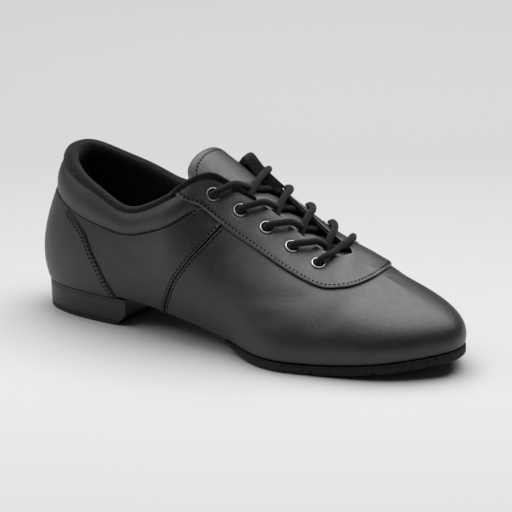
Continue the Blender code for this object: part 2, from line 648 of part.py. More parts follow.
def smooth_route(points, count):
    """Read count points from a smooth curve through a route's own points."""
    points = np.asarray(points)
    padded = np.concatenate([[2 * points[0] - points[1]], points, [2 * points[-1] - points[-2]]])
    route = []
    for t in np.linspace(0.0, len(points) - 1.0, count):
        start = min(int(t), len(points) - 2)
        a, b, c, d = padded[start:start + 4]
        t -= start
        route.append(0.5 * (2 * b + (c - a) * t + (2 * a - 5 * b + 4 * c - d) * t**2
                            + (3 * b - a - 3 * c + d) * t**3))
    return route


def strand(number, side):
    """Route one lace strand from inside the gap up over the far facing to its eyelet."""
    places, shares = eyelet_places(side)
    place, share = places[number], shares[number]
    near = min(place, LOOP - place)
    across = tongue_section(near + 0.55)
    if side < 0:
        across = across[::-1]
    lift = LACE_RADIUS + JOINT_GAP
    stay_top = FOLLOW_GAP + EYESTAY_THICKNESS + lift
    up = np.array([0.0, 0.0, 1.0])
    eyelet_top = stay_top + EYELET_RIM + 2 * JOINT_GAP
    toward = 0.25 if side < 0 else -0.25
    return [
        across[3] + up * (lift + JOINT_GAP),
        across[3:7].mean(axis=0) + up * (lift + 2.2 * LACE_RADIUS),
        surface([place + toward], [1.0], stay_top + 0.7 * LACE_RADIUS)[0],
        surface([place], [share], eyelet_top)[0],
    ]


def add_laces(collection, cutters):
    """Make the lace: four crossings and the straight bar at the throat's front."""
    for number in range(EYELETS - 1):
        first, second = (tube(smooth_route(strand(number, side), 8), LACE_RADIUS) for side in (-1, 1))
        crossing = finish_piece(f"lace_cross_{number + 1}", first, collection, (0.012, 0.012, 0.012), 0.85)
        union = crossing.modifiers.new("crossing", "BOOLEAN")
        union.operation = "UNION"
        union.solver = "EXACT"
        union.object = finish_cutter(f"strand {number + 1}", second, cutters)
    ends = [strand(EYELETS - 1, side) for side in (-1, 1)]
    over = [(end[3], end[2]) for end in ends]
    middle = (over[0][1] + over[1][1]) / 2
    route = [over[0][0], over[0][1], middle, over[1][1], over[1][0]]
    bar = tube(smooth_route(route, 11), LACE_RADIUS)
    finish_piece("lace_bar", bar, collection, (0.012, 0.012, 0.012), 0.85)


def main():
    """Build the shoe."""
    for leftover in list(bpy.data.objects):
        bpy.data.objects.remove(leftover, do_unlink=True)
    shoe = bpy.data.collections.new("jazz shoe")
    cutters = bpy.data.collections.new("cutters")
    for collection in (shoe, cutters):
        bpy.context.scene.collection.children.link(collection)
    holes = eyelet_holes(cutters)
    add_upper(shoe, holes)
    add_outsole(shoe, cutters)
    add_heel(shoe)
    add_heel_tip(shoe)
    add_insole(shoe)
    add_tongue(shoe)
    add_eyestay(shoe, holes)
    add_counter(shoe)
    add_collar_lining(shoe)
    add_eyelets(shoe)
    add_laces(shoe, cutters)


main()
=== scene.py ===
# %% [markdown]
# # A lace-up jazz shoe in black leather
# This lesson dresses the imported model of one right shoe. The model gives the sizes; here each
# piece is cut again from a fine sheet of the same last, with its edges, seams, stitches and grain.

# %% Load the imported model
import json
import math
from collections import namedtuple

import bmesh
import bpy
import numpy as np
from mathutils import Matrix, Vector, kdtree

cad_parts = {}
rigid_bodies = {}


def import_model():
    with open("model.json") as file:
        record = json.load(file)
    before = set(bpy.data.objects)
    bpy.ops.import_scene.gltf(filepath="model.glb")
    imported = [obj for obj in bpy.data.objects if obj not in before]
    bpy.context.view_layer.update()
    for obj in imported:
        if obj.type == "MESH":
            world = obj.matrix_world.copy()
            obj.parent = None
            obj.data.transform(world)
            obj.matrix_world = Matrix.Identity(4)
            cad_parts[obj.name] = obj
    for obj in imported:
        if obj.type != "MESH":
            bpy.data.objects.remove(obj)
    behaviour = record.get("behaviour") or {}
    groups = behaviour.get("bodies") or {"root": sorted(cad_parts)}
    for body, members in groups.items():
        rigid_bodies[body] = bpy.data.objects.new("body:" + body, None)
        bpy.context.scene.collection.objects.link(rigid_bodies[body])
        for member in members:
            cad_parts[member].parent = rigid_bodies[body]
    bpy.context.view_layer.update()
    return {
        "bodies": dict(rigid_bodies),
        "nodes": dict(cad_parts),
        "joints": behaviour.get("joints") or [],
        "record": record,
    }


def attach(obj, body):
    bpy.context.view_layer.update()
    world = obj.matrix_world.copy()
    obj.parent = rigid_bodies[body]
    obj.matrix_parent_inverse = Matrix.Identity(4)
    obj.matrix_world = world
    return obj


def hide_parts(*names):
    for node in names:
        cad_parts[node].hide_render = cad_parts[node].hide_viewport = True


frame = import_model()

# %% [markdown]
# ## Where the camera stands
# The photograph is a three-quarter view with a long lens, a little above the shoe. The camera
# stands where it stood for the whole picture, and turns a little to the middle of the one shoe.

# %% Place the camera
AZIMUTH, ELEVATION = 31.9, 16.32  # degrees: 0 looks along +Y
DISTANCE = 2.172  # from the camera to AIM
AIM = Vector((0.1128, 0.0413, 0.0725))  # the middle of the photograph, on the line of sight
MIDDLE = Vector((0.0959, 0.0189, 0.0400))  # the shoe's middle, where the camera turns to
FOCAL_LENGTH = 262.0  # mm, on a 36 mm sensor


def new_object(name, data):
    """Make an object and put it in the scene."""
    thing = bpy.data.objects.new(name, data)
    bpy.context.scene.collection.objects.link(thing)
    return thing


def place_camera():
    """Put the camera back along the line of sight."""
    azimuth, elevation = math.radians(AZIMUTH), math.radians(ELEVATION)
    back = Vector((math.sin(azimuth) * math.cos(elevation), -math.cos(azimuth) * math.cos(elevation),
                   math.sin(elevation)))
    camera = new_object("camera", bpy.data.cameras.new("camera"))
    camera.data.lens = FOCAL_LENGTH
    camera.data.sensor_width = 36.0
    camera.data.clip_end = 50.0
    camera.location = AIM + back * DISTANCE
    camera.rotation_euler = (camera.location - MIDDLE).to_track_quat("Z", "Y").to_euler()
    bpy.context.scene.camera = camera
    return camera


print("camera", [round(c, 3) for c in place_camera().location])

# %% [markdown]
# ## The last
# A shoe is pulled over a last, so every piece of leather lies on one surface. Here that surface is
# a fan of sections: each rises from the foot line to the topline, the facing's edge or the ridge of
# the vamp. The place u runs once round the shoe, from the heel's back (0) by the lateral side to
# the toe (19) and back by the medial side (38).

# %% Sizes of the last
LENGTH = 0.2740  # heel back to toe tip, along the foot line
HEEL_WIDTH = 0.062
BALL_WIDTH = 0.100
BACK_HEIGHT = 0.0950
SIDE_HEIGHT = 0.0725
INSTEP_HEIGHT = 0.0972
VAMP_HEIGHT = 0.0550
WALL = 0.0018
JOINT_GAP = 0.0003
HEEL_HEIGHT = 0.0166
HEEL_TIP = 0.0026
HEEL_TAPER = 0.0008
BREAST = 0.252
BREAST_CHAMFER = 0.0070
SOLE_THICKNESS = 0.0055
SOLE_REAR_THICKNESS = 0.0018
SOLE_EDGE = 0.0006
SOLE_FROM = 8.7
SOLE_REAR_ARC = 0.010
GROOVES = (0.752, 0.877)
GROOVE_WIDTH = 0.0022
GROOVE_DEPTH = 0.0014
TOE_SPRING = 0.0090
ARCH_FROM, ARCH_TO = 0.22, 0.625
ARCH_RISE = 0.0035
SPRING_FROM, SPRING_POWER = 0.70, 1.8
HEEL_REST_CENTRE = 0.1135  # the origin's place, as a share of LENGTH from the heel's back
DENSE = 33
CLOSED_FROM = 13.0
COLLAR_LINE = 0.735
COLLAR_BULGE = 0.0016
COLLAR_END = 7.3
PAD_THICKNESS = 0.0040
PAD_DEPTH = 0.026
ROLL_HEIGHT = 0.0024

Station = namedtuple(
    "Station",
    "along lateral medial width top_along top_lateral top_medial height top"
    " flare low crown high ridge tilt spine",
)
STATIONS = [
    Station(0.000, 0.00, 0.00, "heel", 0.049, 0.00, 0.00, "back", 1.000, 20, .35, 76, .34, 0, 0, .130),
    Station(0.020, 0.52, 0.52, "heel", 0.064, 0.42, 0.42, "back", 0.985, 20, .35, 76, .34, 0, 0, .135),
    Station(0.076, 0.86, 0.86, "heel", 0.116, 0.78, 0.78, "back", 0.905, 19, .34, 78, .34, 0, 0, .145),
    Station(0.160, 1.00, 0.99, "heel", 0.187, 0.97, 0.97, "side", 1.083, 18, .34, 80, .34, 0, 0, .180),
    Station(0.247, 1.02, 0.98, "heel", 0.260, 1.06, 1.04, "side", 1.000, 18, .34, 80, .34, 0, 0, .247),
    Station(0.327, 1.03, 0.93, "heel", 0.330, 1.10, 1.08, "side", 1.083, 22, .34, 76, .34, 0, 0, .327),
    Station(0.392, 0.67, 0.56, "ball", 0.388, 0.66, 0.66, "instep", 0.908, 26, .34, 66, .34, 0, 0, .392),
    Station(0.443, 0.69, 0.58, "ball", 0.429, 0.44, 0.50, "instep", 1.000, 27, .34, 54, .34, 0, 0, .443),
    Station(0.488, 0.73, 0.63, "ball", 0.461, 0.28, 0.42, "instep", 0.958, 26, .34, 42, .34, 0, 0, .488),
    Station(0.537, 0.80, 0.71, "ball", 0.515, 0.19, 0.36, "instep", 0.872, 23, .34, 32, .35, 0, 0, .537),
    Station(0.599, 0.95, 0.82, "ball", 0.581, 0.13, 0.33, "instep", 0.766, 19, .33, 24, .37, 0, 1, .599),
    Station(0.666, 1.04, 0.91, "ball", 0.653, 0.08, 0.29, "instep", 0.639, 17, .33, 14, .40, 0, 6, .660),
    Station(0.730, 0.98, 0.92, "ball", 0.710, 0.01, 0.23, "instep", 0.572, 17, .33, 8, .42, 12, 9, .712),
    Station(0.790, 0.895, 0.87, "ball", 0.730, -.13, 0.13, "vamp", 1.000, 18, .34, 0, .44, 26, 8, .752),
    Station(0.845, 0.80, 0.80, "ball", 0.755, -.13, 0.13, "vamp", 0.934, 19, .34, 0, .45, 24, 7, .782),
    Station(0.896, 0.67, 0.700, "ball", 0.779, -.13, 0.13, "vamp", 0.888, 19, .34, 0, .46, 22, 7, .802),
    Station(0.938, 0.50, 0.575, "ball", 0.797, -.13, 0.13, "vamp", 0.858, 18, .34, 0, .48, 20, 6, .817),
    Station(0.969, 0.33, 0.410, "ball", 0.810, -.13, 0.13, "vamp", 0.842, 17, .34, 0, .50, 19, 5, .827),
    Station(0.992, 0.16, 0.210, "ball", 0.818, -.12, 0.12, "vamp", 0.833, 16, .34, 0, .51, 18, 4, .833),
    Station(1.000, -.01, 0.010, "ball", 0.822, -.12, 0.12, "vamp", 0.830, 16, .34, 0, .52, 18, 4, .835),
]
HALF_WIDTHS = {"heel": HEEL_WIDTH / 2, "ball": BALL_WIDTH / 2}
HEIGHTS = {"back": BACK_HEIGHT, "side": SIDE_HEIGHT, "instep": INSTEP_HEIGHT, "vamp": VAMP_HEIGHT}
LAST = len(STATIONS) - 1
LOOP = 2 * LAST
print("stations", len(STATIONS), "and places round the shoe", LOOP)

# %% [markdown]
# ## Reading the last as a smooth surface
# The same rules as in the model turn a place u and a share of the way up into a point. Read at
# exact places on smooth curves, it gives sheets as fine as the leather needs.

# %% Curves through the stations


def smooth_step(value):
    """Ease from 0 to 1 as value goes from 0 to 1."""
    value = np.clip(value, 0.0, 1.0)
    return value * value * (3.0 - 2.0 * value)


def unit(vectors):
    """Scale each vector to length one."""
    return vectors / np.maximum(np.linalg.norm(vectors, axis=-1, keepdims=True), 1e-12)


def closed_spline(values, u):
    """Read a smooth closed curve through values, which stand one apart, at the places u."""
    values = np.asarray(values, dtype=float)
    count = len(values)
    matrix = 4.0 * np.eye(count) + np.roll(np.eye(count), 1, axis=1) + np.roll(np.eye(count), -1, axis=1)
    bends = np.linalg.solve(matrix, 6.0 * (np.roll(values, 1, 0) - 2.0 * values + np.roll(values, -1, 0)))
    u = np.mod(u, count)
    low = np.floor(u).astype(int) % count
    high = (low + 1) % count
    b = u - np.floor(u)
    if values.ndim > 1:
        b = b[:, None]
    a = 1.0 - b
    curve = a * values[low] + b * values[high]
    return curve + ((a**3 - a) * bends[low] + (b**3 - b) * bends[high]) / 6.0


def open_spline(knots, values, at):
    """Read a smooth open curve through values at rising knots; flat beyond its ends."""
    knots, values = np.asarray(knots, float), np.asarray(values, float)
    gaps = np.diff(knots)
    count = len(knots)
    matrix = np.eye(count)
    slopes = np.diff(values, axis=0) / (gaps[:, None] if values.ndim > 1 else gaps)
    target = np.zeros_like(values)
    for i in range(1, count - 1):
        matrix[i, i - 1:i + 2] = gaps[i - 1], 2 * (gaps[i - 1] + gaps[i]), gaps[i]
        target[i] = 6 * (slopes[i] - slopes[i - 1])
    bends = np.linalg.solve(matrix, target)
    at = np.clip(at, knots[0], knots[-1])
    low = np.clip(np.searchsorted(knots, at, side="right") - 1, 0, count - 2)
    gap = gaps[low]
    b = (at - knots[low]) / gap
    if values.ndim > 1:
        b, gap = b[:, None], gap[:, None]
    a = 1 - b
    return (a * values[low] + b * values[low + 1]
            + ((a**3 - a) * bends[low] + (b**3 - b) * bends[low + 1]) * gap**2 / 6)


def around(read):
    """List a value for each station once round the shoe, lateral side first, then medial."""
    lateral = [read(row, -1) for row in STATIONS]
    medial = [read(row, 1) for row in STATIONS[-2:0:-1]]
    return lateral + medial


def column(name, u):
    """Read one of the table's columns at the places u round the shoe."""
    return closed_spline(around(lambda row, side: getattr(row, name)), u)


def bottom(x, y):
    """Height of the foot line, from the heel seat through the arch to the toe spring."""
    share = (x + HEEL_REST_CENTRE * LENGTH) / LENGTH
    drop = smooth_step((share - ARCH_FROM) / (ARCH_TO - ARCH_FROM))
    seat = HEEL_HEIGHT + (SOLE_THICKNESS - HEEL_HEIGHT) * drop
    spring = TOE_SPRING * np.clip((share - SPRING_FROM) / (1.0 - SPRING_FROM), 0.0, 1.2) ** SPRING_POWER
    arch = ARCH_RISE * 4.0 * drop * (1.0 - drop) * np.clip(y / (HEEL_WIDTH / 2), 0.0, 1.0) ** 2
    return JOINT_GAP + seat + spring + arch


def foot_line(u):
    """Points of the line where upper meets sole."""
    x = closed_spline(around(lambda row, side: row.along * LENGTH), u) - HEEL_REST_CENTRE * LENGTH
    y = closed_spline(around(lambda row, side: side * HALF_WIDTHS[row.width]
                             * (row.medial if side > 0 else row.lateral)), u)
    return np.stack([x, y, bottom(x, y)], axis=-1)


def top_breadth(u):
    """How far to the side the topline, facing's edge or ridge lies."""
    return closed_spline(around(lambda row, side: side * HALF_WIDTHS[row.width]
                                * (row.top_medial if side > 0 else row.top_lateral)), u)


def top_line(u):
    """Points of the topline, then the facings' edges, then the vamp's ridge."""
    x = closed_spline(around(lambda row, side: row.top_along * LENGTH), u) - HEEL_REST_CENTRE * LENGTH
    y = top_breadth(u)
    place = np.mod(u, LOOP)
    both = (y + top_breadth(-u)) / 2
    y = np.where((place >= CLOSED_FROM) & (place <= LOOP - CLOSED_FROM), both, y)
    z = closed_spline(around(lambda row, side: row.top * HEIGHTS[row.height]), u)
    z = z + y * np.tan(np.radians(column("tilt", u)))
    return np.stack([x, y, z], axis=-1)


def outward(u):
    """Level directions that point out of the foot line."""
    ahead = foot_line(u + 0.02) - foot_line(u - 0.02)
    return unit(np.stack([ahead[:, 1], -ahead[:, 0], np.zeros(len(u))], axis=-1))


def spine_line(u):
    """Points on the middle line of the bottom that each margin runs towards."""
    x = column("spine", u) * LENGTH - HEEL_REST_CENTRE * LENGTH
    return np.stack([x, 0 * x, bottom(x, 0 * x)], axis=-1)


# %% Sections and the surface between them


def sections(u):
    """Handles of each section's curve, its running length, and how far the collar's pad lifts it."""
    foot, top, out = foot_line(u), top_line(u), outward(u)
    level = np.array([1.0, 1.0, 0.0])
    upright = np.array([0.0, 0.0, 1.0])
    away = unit(out * HEEL_WIDTH / 3 + (foot - top) * level)
    flare, crown, ridge, tilt = (np.radians(column(name, u))[:, None]
                                 for name in ("flare", "crown", "ridge", "tilt"))
    low, high = (column(name, u)[:, None] for name in ("low", "high"))
    reach = np.linalg.norm(top - foot, axis=-1, keepdims=True)
    rising = out * np.sin(flare) + upright * np.cos(flare)
    climb = np.sin(crown) + away[:, :1] * np.tan(ridge) - away[:, 1:2] * np.tan(tilt)
    arriving = unit(-away * np.cos(crown) + upright * climb)
    handles = np.stack([foot, foot + low * reach * rising, top - high * reach * arriving, top])
    run = np.linspace(0.0, 1.0, DENSE)[None, :, None]
    curves = bezier(handles[:, :, None], run)
    length = np.cumsum(np.linalg.norm(np.diff(curves, axis=1), axis=-1), axis=1)
    length = np.concatenate([np.zeros((len(u), 1)), length], axis=1)
    place = np.minimum(np.mod(u, LOOP), LOOP - np.mod(u, LOOP))
    return handles, length, away, smooth_step(COLLAR_END - place)


def bezier(handles, t):
    """Points of a curve with four handles."""
    return ((1 - t)**3 * handles[0] + 3 * (1 - t)**2 * t * handles[1]
            + 3 * (1 - t) * t**2 * handles[2] + t**3 * handles[3])


def skin(u, share):
    """Points of the leather's outer face, for flat arrays of places and shares."""
    places, index = np.unique(np.round(u, 7), return_inverse=True)
    handles, length, away, padded = sections(places)
    target = share * length[index, -1]
    step = np.clip((length[index] <= target[:, None]).sum(axis=1) - 1, 0, DENSE - 2)
    before, after = length[index, step], length[index, step + 1]
    t = (step + (target - before) / (after - before)) / (DENSE - 1)
    fall = np.clip((1.0 - share) / (1.0 - COLLAR_LINE), 0.0, 1.0)
    puff = COLLAR_BULGE * padded[index] * np.sin(np.pi * fall**0.8)
    return bezier(handles[:, index], t[:, None]) + puff[:, None] * away[index]


ROUND_SHARE = 0.022  # share of the way up where the leather starts to turn under
ROUND = 0.0022  # how far in under the foot that turn reaches


def shell(u, rise):
    """Points of the lasted leather: up the side for rise over 0, and in under the foot below 0."""
    foot = foot_line(u)
    inward = spine_line(u) - foot
    reach = np.linalg.norm(inward, axis=-1)
    tucked = np.clip((-rise - ROUND_SHARE) / (1.0 - ROUND_SHARE), 0.0, 1.0)
    depth = ROUND + tucked * (0.985 * reach - ROUND)
    under = foot + inward / reach[:, None] * depth[:, None]
    under[:, 2] = bottom(under[:, 0], under[:, 1])
    side = skin(u, np.clip(rise, ROUND_SHARE, 1.0))
    t = np.clip((ROUND_SHARE - rise) / (2 * ROUND_SHARE), 0.0, 1.0)[:, None]
    turn = (1 - t)**2 * side + 2 * t * (1 - t) * foot + t**2 * under
    points = np.where((rise <= -ROUND_SHARE)[:, None], under, turn)
    return np.where((rise >= ROUND_SHARE)[:, None], side, points)


def facing_out(u, rise):
    """Outward normals of the leather, the same for both sides where they meet on the ridge."""
    inner = np.clip(rise, -0.99, 0.99)
    across = shell(u + 0.02, inner) - shell(u - 0.02, inner)
    upward = shell(u, inner + 0.005) - shell(u, inner - 0.005)
    return unit(np.cross(across, upward))


def surface(u, rise, lift=0.0):
    """Points at a height above the leather, and the normals there."""
    u, rise, lift = np.broadcast_arrays(np.asarray(u, float), np.asarray(rise, float), lift)
    shape = u.shape
    u, rise, lift = u.ravel(), rise.ravel(), lift.ravel()[:, None]
    normal = facing_out(u, rise)
    ridge = (rise > 0.999) & (u >= CLOSED_FROM) & (u <= LOOP - CLOSED_FROM)
    if ridge.any():
        normal[ridge] = unit(normal[ridge] + facing_out(LOOP - u[ridge], rise[ridge]))
    points = shell(u, rise) + normal * lift
    return points.reshape(*shape, 3), normal.reshape(*shape, 3)


def section_length(u):
    """Length of each section from the foot line to its top."""
    return sections(np.atleast_1d(np.asarray(u, float)))[1][:, -1]


print("girth at the ball", round(float(section_length([11.0])[0] + section_length([27.0])[0]), 4))

# %% [markdown]
# ## Helpers for sheets, seams and stitches
# Each piece of leather starts as Blender's own grid, whose corners are then moved onto the last.
# A seam is a line in space: its distance from each corner of a sheet says how deep the furrow is
# there, and the stitches are set along the same line.

# %% Sheets from grids


def grid_sheet(points):
    """Make a grid and move its corners onto points, given column by column."""
    across, up = points.shape[0] - 1, points.shape[1] - 1
    bm = bmesh.new()
    bm.loops.layers.uv.new("UVMap")
    bmesh.ops.create_grid(bm, x_segments=across, y_segments=up, size=0.5, calc_uvs=True)
    for vert in bm.verts:
        vert.co = points[round((vert.co.x + 0.5) * across), round((vert.co.y + 0.5) * up)]
    return bm


def spaced(total, step, edge=(0.0002, 0.0005, 0.0009, 0.0014)):
    """Shares of the way across a piece: close together along both edges, then a step apart."""
    near = np.concatenate([[0.0], edge])
    count = max(2, round((total - 2 * near[-1]) / step))
    inner = np.linspace(near[-1], total - near[-1], count + 1)[1:-1]
    return np.concatenate([near, inner, total - near[::-1]]) / total


def close_up(bm):
    """Close what is open, so that all faces look outward."""
    bmesh.ops.holes_fill(bm, edges=[edge for edge in bm.edges if edge.is_boundary], sides=0)
    bmesh.ops.recalc_face_normals(bm, faces=bm.faces)


def mesh_from(name, bm):
    """Turn a bmesh into a mesh, and free it."""
    mesh = bpy.data.meshes.new(name)
    bm.to_mesh(mesh)
    bm.free()
    return mesh


def finish(name, bm, material, nodes=(), sharp=50.0, weld=1e-6):
    """Turn a bmesh into a named piece that rides on the shoe's one body."""
    bmesh.ops.remove_doubles(bm, verts=bm.verts, dist=weld)
    bmesh.ops.dissolve_degenerate(bm, edges=bm.edges, dist=weld / 2)
    mesh = mesh_from(name, bm)
    mesh.shade_smooth()
    mesh.set_sharp_from_angle(angle=math.radians(sharp))
    piece = new_object(name, mesh)
    for each in material if isinstance(material, (list, tuple)) else [material]:
        mesh.materials.append(each)
    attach(piece, "root")
    if nodes:
        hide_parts(*nodes)
    return piece


def add_wall(piece, thickness, rim=0):
    """Give a sheet its thickness, on the side away from its normals."""
    wall = piece.modifiers.new("wall", "SOLIDIFY")
    wall.thickness = thickness
    wall.offset = -1.0
    wall.use_quality_normals = True
    wall.material_offset_rim = rim
    return piece


# %% Lines, furrows and stitches


def running(points):
    """Length along a row of points."""
    return np.concatenate([[0.0], np.cumsum(np.linalg.norm(np.diff(points, axis=0), axis=1))])


def resampled(points, step, *others):
    """Points an even step apart along a line, and whatever else is given, read at the same places."""
    run = running(points)
    wanted = np.linspace(0.0, run[-1], max(2, round(run[-1] / step) + 1))
    read = [np.stack([np.interp(wanted, run, each[:, axis]) for axis in range(3)], axis=1)
            for each in (points, *others)]
    return read if others else read[0]


def search_tree(points):
    """A tree that finds which of many points lie near a place."""
    tree = kdtree.KDTree(len(points))
    for number, point in enumerate(points):
        tree.insert(point, number)
    tree.balance()
    return tree


def distance_to(line, points):
    """Distance of each point from a line in space."""
    tree = search_tree(resampled(line, 0.00015))
    flat = points.reshape(-1, 3)
    return np.array([tree.find(point)[2] for point in flat]).reshape(points.shape[:-1])


def furrow(distance, depth, width):
    """A soft trough of a given depth, where distance is near 0."""
    return -depth * np.exp(-(distance / width)**2)


def rolled(distance, drop, width):
    """The edge of a cut piece, rounded over a width."""
    inside = np.clip(distance / width, 0.0, 1.0)
    return -drop * (1.0 - np.sqrt(1.0 - (1.0 - inside)**2))


def beside(points, normals, offset):
    """A line that runs an offset to the left of another, on the same surface."""
    tangent = unit(np.gradient(points, axis=0))
    return points + unit(np.cross(normals, tangent)) * offset


def inset_row(points, normals, offset):
    """A line an offset inside another, without the points where a tight turn folds it back."""
    middle = points.mean(axis=0)
    rows = [beside(points, normals, sign * offset) for sign in (1, -1)]
    row = min(rows, key=lambda each: np.linalg.norm(each - middle, axis=1).mean())
    clear = distance_to(points, row) > 0.96 * offset
    steps = np.linalg.norm(np.diff(row, axis=0), axis=1)
    clear[1:] &= steps > 1e-5
    return row[clear], normals[clear]


THREAD_LENGTH = 0.00190
THREAD_WIDTH = 0.00110
THREAD_HEIGHT = 0.00046
THREAD_SINK = 0.1  # share of its height that a stitch's middle lies below its line
PITCH = 0.0026  # from one stitch to the next


def stitch_rows(name, rows, material, node):
    """Lay a row of thread stitches along each line: short flat capsules, sunk in a little."""
    bm = bmesh.new()
    count = 0
    for points, normals in rows:
        points, normals = resampled(points, PITCH, normals)
        tangents = unit(np.diff(points, axis=0))
        middles = (points[1:] + points[:-1]) / 2
        for middle, tangent, normal in zip(middles, tangents, unit(normals[1:] + normals[:-1])):
            side = np.cross(normal, tangent)
            matrix = Matrix.Identity(4)
            for axis, (direction, size) in enumerate(
                    ((tangent, THREAD_LENGTH), (side, THREAD_WIDTH), (normal, THREAD_HEIGHT))):
                for row in range(3):
                    matrix[row][axis] = direction[row] * size / 2
            matrix.translation = middle - normal * THREAD_HEIGHT * THREAD_SINK
            bmesh.ops.create_uvsphere(bm, u_segments=6, v_segments=6, radius=1.0, matrix=matrix)
            count += 1
    print(name, "stitches", count)
    return finish(name, bm, material, [node], sharp=180.0, weld=1e-7)


# %% [markdown]
# ## The finishes
# The leather is smooth, black and satin: almost no colour, a fine grain, and a soft slow wave
# that breaks up its reflections. Felt, cord, rubber and metal differ from it mostly in gloss and
# in the size of their grain, so each has its own bump and roughness.

# %% Materials


def set_inputs(tree, node, values):
    """Give each named input of a node its value, or link another node's output to it."""
    for name, value in values.items():
        if isinstance(value, bpy.types.NodeSocket):
            tree.links.new(value, node.inputs[name])
        else:
            node.inputs[name].default_value = value
    return node


def add_node(tree, kind, values):
    """Add a shader node with its inputs."""
    return set_inputs(tree, tree.nodes.new("ShaderNode" + kind), values)


def new_material(name, color, roughness, metallic=0.0):
    """Start a material, and return it with its nodes and its shader."""
    material = bpy.data.materials.new(name)
    material.use_nodes = True
    tree = material.node_tree
    shader = tree.nodes["Principled BSDF"]
    set_inputs(tree, shader, {
        "Base Color": (*color, 1.0), "Roughness": roughness, "Metallic": metallic})
    return material, tree, shader


def own_place(tree, source="Object"):
    """The place on a piece, in the piece's own coordinates."""
    return tree.nodes.new("ShaderNodeTexCoord").outputs[source]


def noise(tree, scale, detail=3.0, roughness=0.5):
    """A cloudy pattern with a given number of cells to the metre."""
    pattern = add_node(tree, "TexNoise", {
        "Vector": own_place(tree), "Scale": scale, "Detail": detail, "Roughness": roughness})
    return pattern.outputs["Fac"]


def pebbles(tree, scale):
    """The small rounded cells of a leather's grain: 0 in the creases between them."""
    cells = tree.nodes.new("ShaderNodeTexVoronoi")
    cells.feature = "DISTANCE_TO_EDGE"
    set_inputs(tree, cells, {"Vector": own_place(tree), "Scale": scale})
    flat = add_node(tree, "MapRange", {"Value": cells.outputs["Distance"], "From Max": 0.18})
    return flat.outputs["Result"]


def bump(tree, height, distance, under=None):
    """Turn a pattern into relief of a given height in metres, laid over another relief."""
    values = {"Height": height, "Distance": distance, "Strength": 1.0}
    if under is not None:
        values["Normal"] = under
    return add_node(tree, "Bump", values).outputs["Normal"]


def ranged(tree, pattern, low, high, start=0.3, end=0.7):
    """Map a pattern onto a range of values."""
    spread = add_node(tree, "MapRange", {
        "Value": pattern, "From Min": start, "From Max": end, "To Min": low, "To Max": high})
    return spread.outputs["Result"]


def shaded(tree, pattern, low, high, start=0.30, end=0.72):
    """Blend two colours by a pattern."""
    ramp = add_node(tree, "ValToRGB", {"Fac": pattern})
    for stop, place, color in zip(ramp.color_ramp.elements, (start, end), (low, high)):
        stop.position = place
        stop.color = (*color, 1.0)
    return ramp.outputs["Color"]


def leather(name, dark, light, gloss):
    """Smooth satin leather with a fine grain."""
    material, tree, shader = new_material(name, light, gloss)
    grain = bump(tree, noise(tree, 45.0, 2.0), 0.00022)
    grain = bump(tree, pebbles(tree, 1100.0), 0.000045, under=grain)
    grain = bump(tree, noise(tree, 600.0, 3.0), 0.000090, under=grain)
    set_inputs(tree, shader, {
        "Normal": grain,
        "Base Color": shaded(tree, noise(tree, 160.0, 4.0), dark, light),
        "Roughness": ranged(tree, noise(tree, 420.0, 4.0), gloss - 0.05, gloss + 0.06),
        "Specular IOR Level": 0.62, "Coat Weight": 0.12, "Coat Roughness": 0.30})
    return material


def cloth(name, dark, light, scale, height, sheen=0.08, fuzz=0.0):
    """Matt cloth or felt with a soft sheen. Its coarse nap stands fuzz high."""
    material, tree, shader = new_material(name, light, 0.95)
    nap = bump(tree, noise(tree, scale, 4.0, 0.7), height)
    if fuzz:
        nap = bump(tree, noise(tree, scale * 0.32, 3.0, 0.6), fuzz, under=nap)
    set_inputs(tree, shader, {
        "Normal": nap,
        "Base Color": shaded(tree, noise(tree, scale * 0.6, 4.0, 0.6), dark, light),
        "Specular IOR Level": 0.15, "Sheen Weight": sheen, "Sheen Roughness": 0.5})
    return material


def rubber(name, dark, light, gloss, scale, height):
    """Rubber, from satin to rough."""
    material, tree, shader = new_material(name, light, gloss)
    coarse = bump(tree, noise(tree, scale, 5.0, 0.65), height)
    set_inputs(tree, shader, {
        "Normal": bump(tree, noise(tree, scale * 3.3, 3.0), height * 0.3, under=coarse),
        "Base Color": shaded(tree, noise(tree, scale * 0.7, 4.0), dark, light)})
    return material


UPPER_LEATHER = leather("upper leather", (0.011, 0.011, 0.012), (0.016, 0.016, 0.017), 0.40)
# The eyestay's leather is painted lighter than the upper's: painted light where it catches the lamp.
STAY_LEATHER_LIT = leather("stay leather with painted light", (0.019, 0.019, 0.020), (0.026, 0.026, 0.027), 0.43)
# The tongue's leather is painted lighter than the upper's in the same way: painted light.
TONGUE_LEATHER_LIT = leather("tongue leather with painted light", (0.019, 0.019, 0.019), (0.026, 0.026, 0.027), 0.42)
LINING_CLOTH = cloth("lining cloth", (0.002, 0.002, 0.002), (0.005, 0.005, 0.005), 1800.0, 0.00008)
COLLAR_FELT = cloth("collar felt", (0.004, 0.004, 0.005), (0.017, 0.017, 0.018), 1500.0, 0.00022,
                    sheen=0.12, fuzz=0.0007)
INSOLE_CLOTH = cloth("insole cloth", (0.006, 0.006, 0.006), (0.014, 0.014, 0.014), 2200.0, 0.0001)
THREAD = cloth("thread", (0.0015, 0.0015, 0.0015), (0.003, 0.003, 0.003), 4000.0, 0.00004, sheen=0.0)
SOLE_RUBBER = rubber("sole rubber", (0.002, 0.002, 0.002), (0.018, 0.018, 0.018), 0.85, 420.0, 0.00080)
HEEL_RUBBER = rubber("heel rubber", (0.012, 0.012, 0.013), (0.017, 0.017, 0.018), 0.42, 700.0, 0.00003)
TIP_RUBBER = rubber("heel tip rubber", (0.006, 0.006, 0.006), (0.010, 0.010, 0.010), 0.62, 900.0, 0.00006)
CUT_EDGE = leather("cut edge", (0.010, 0.010, 0.010), (0.020, 0.020, 0.020), 0.60)
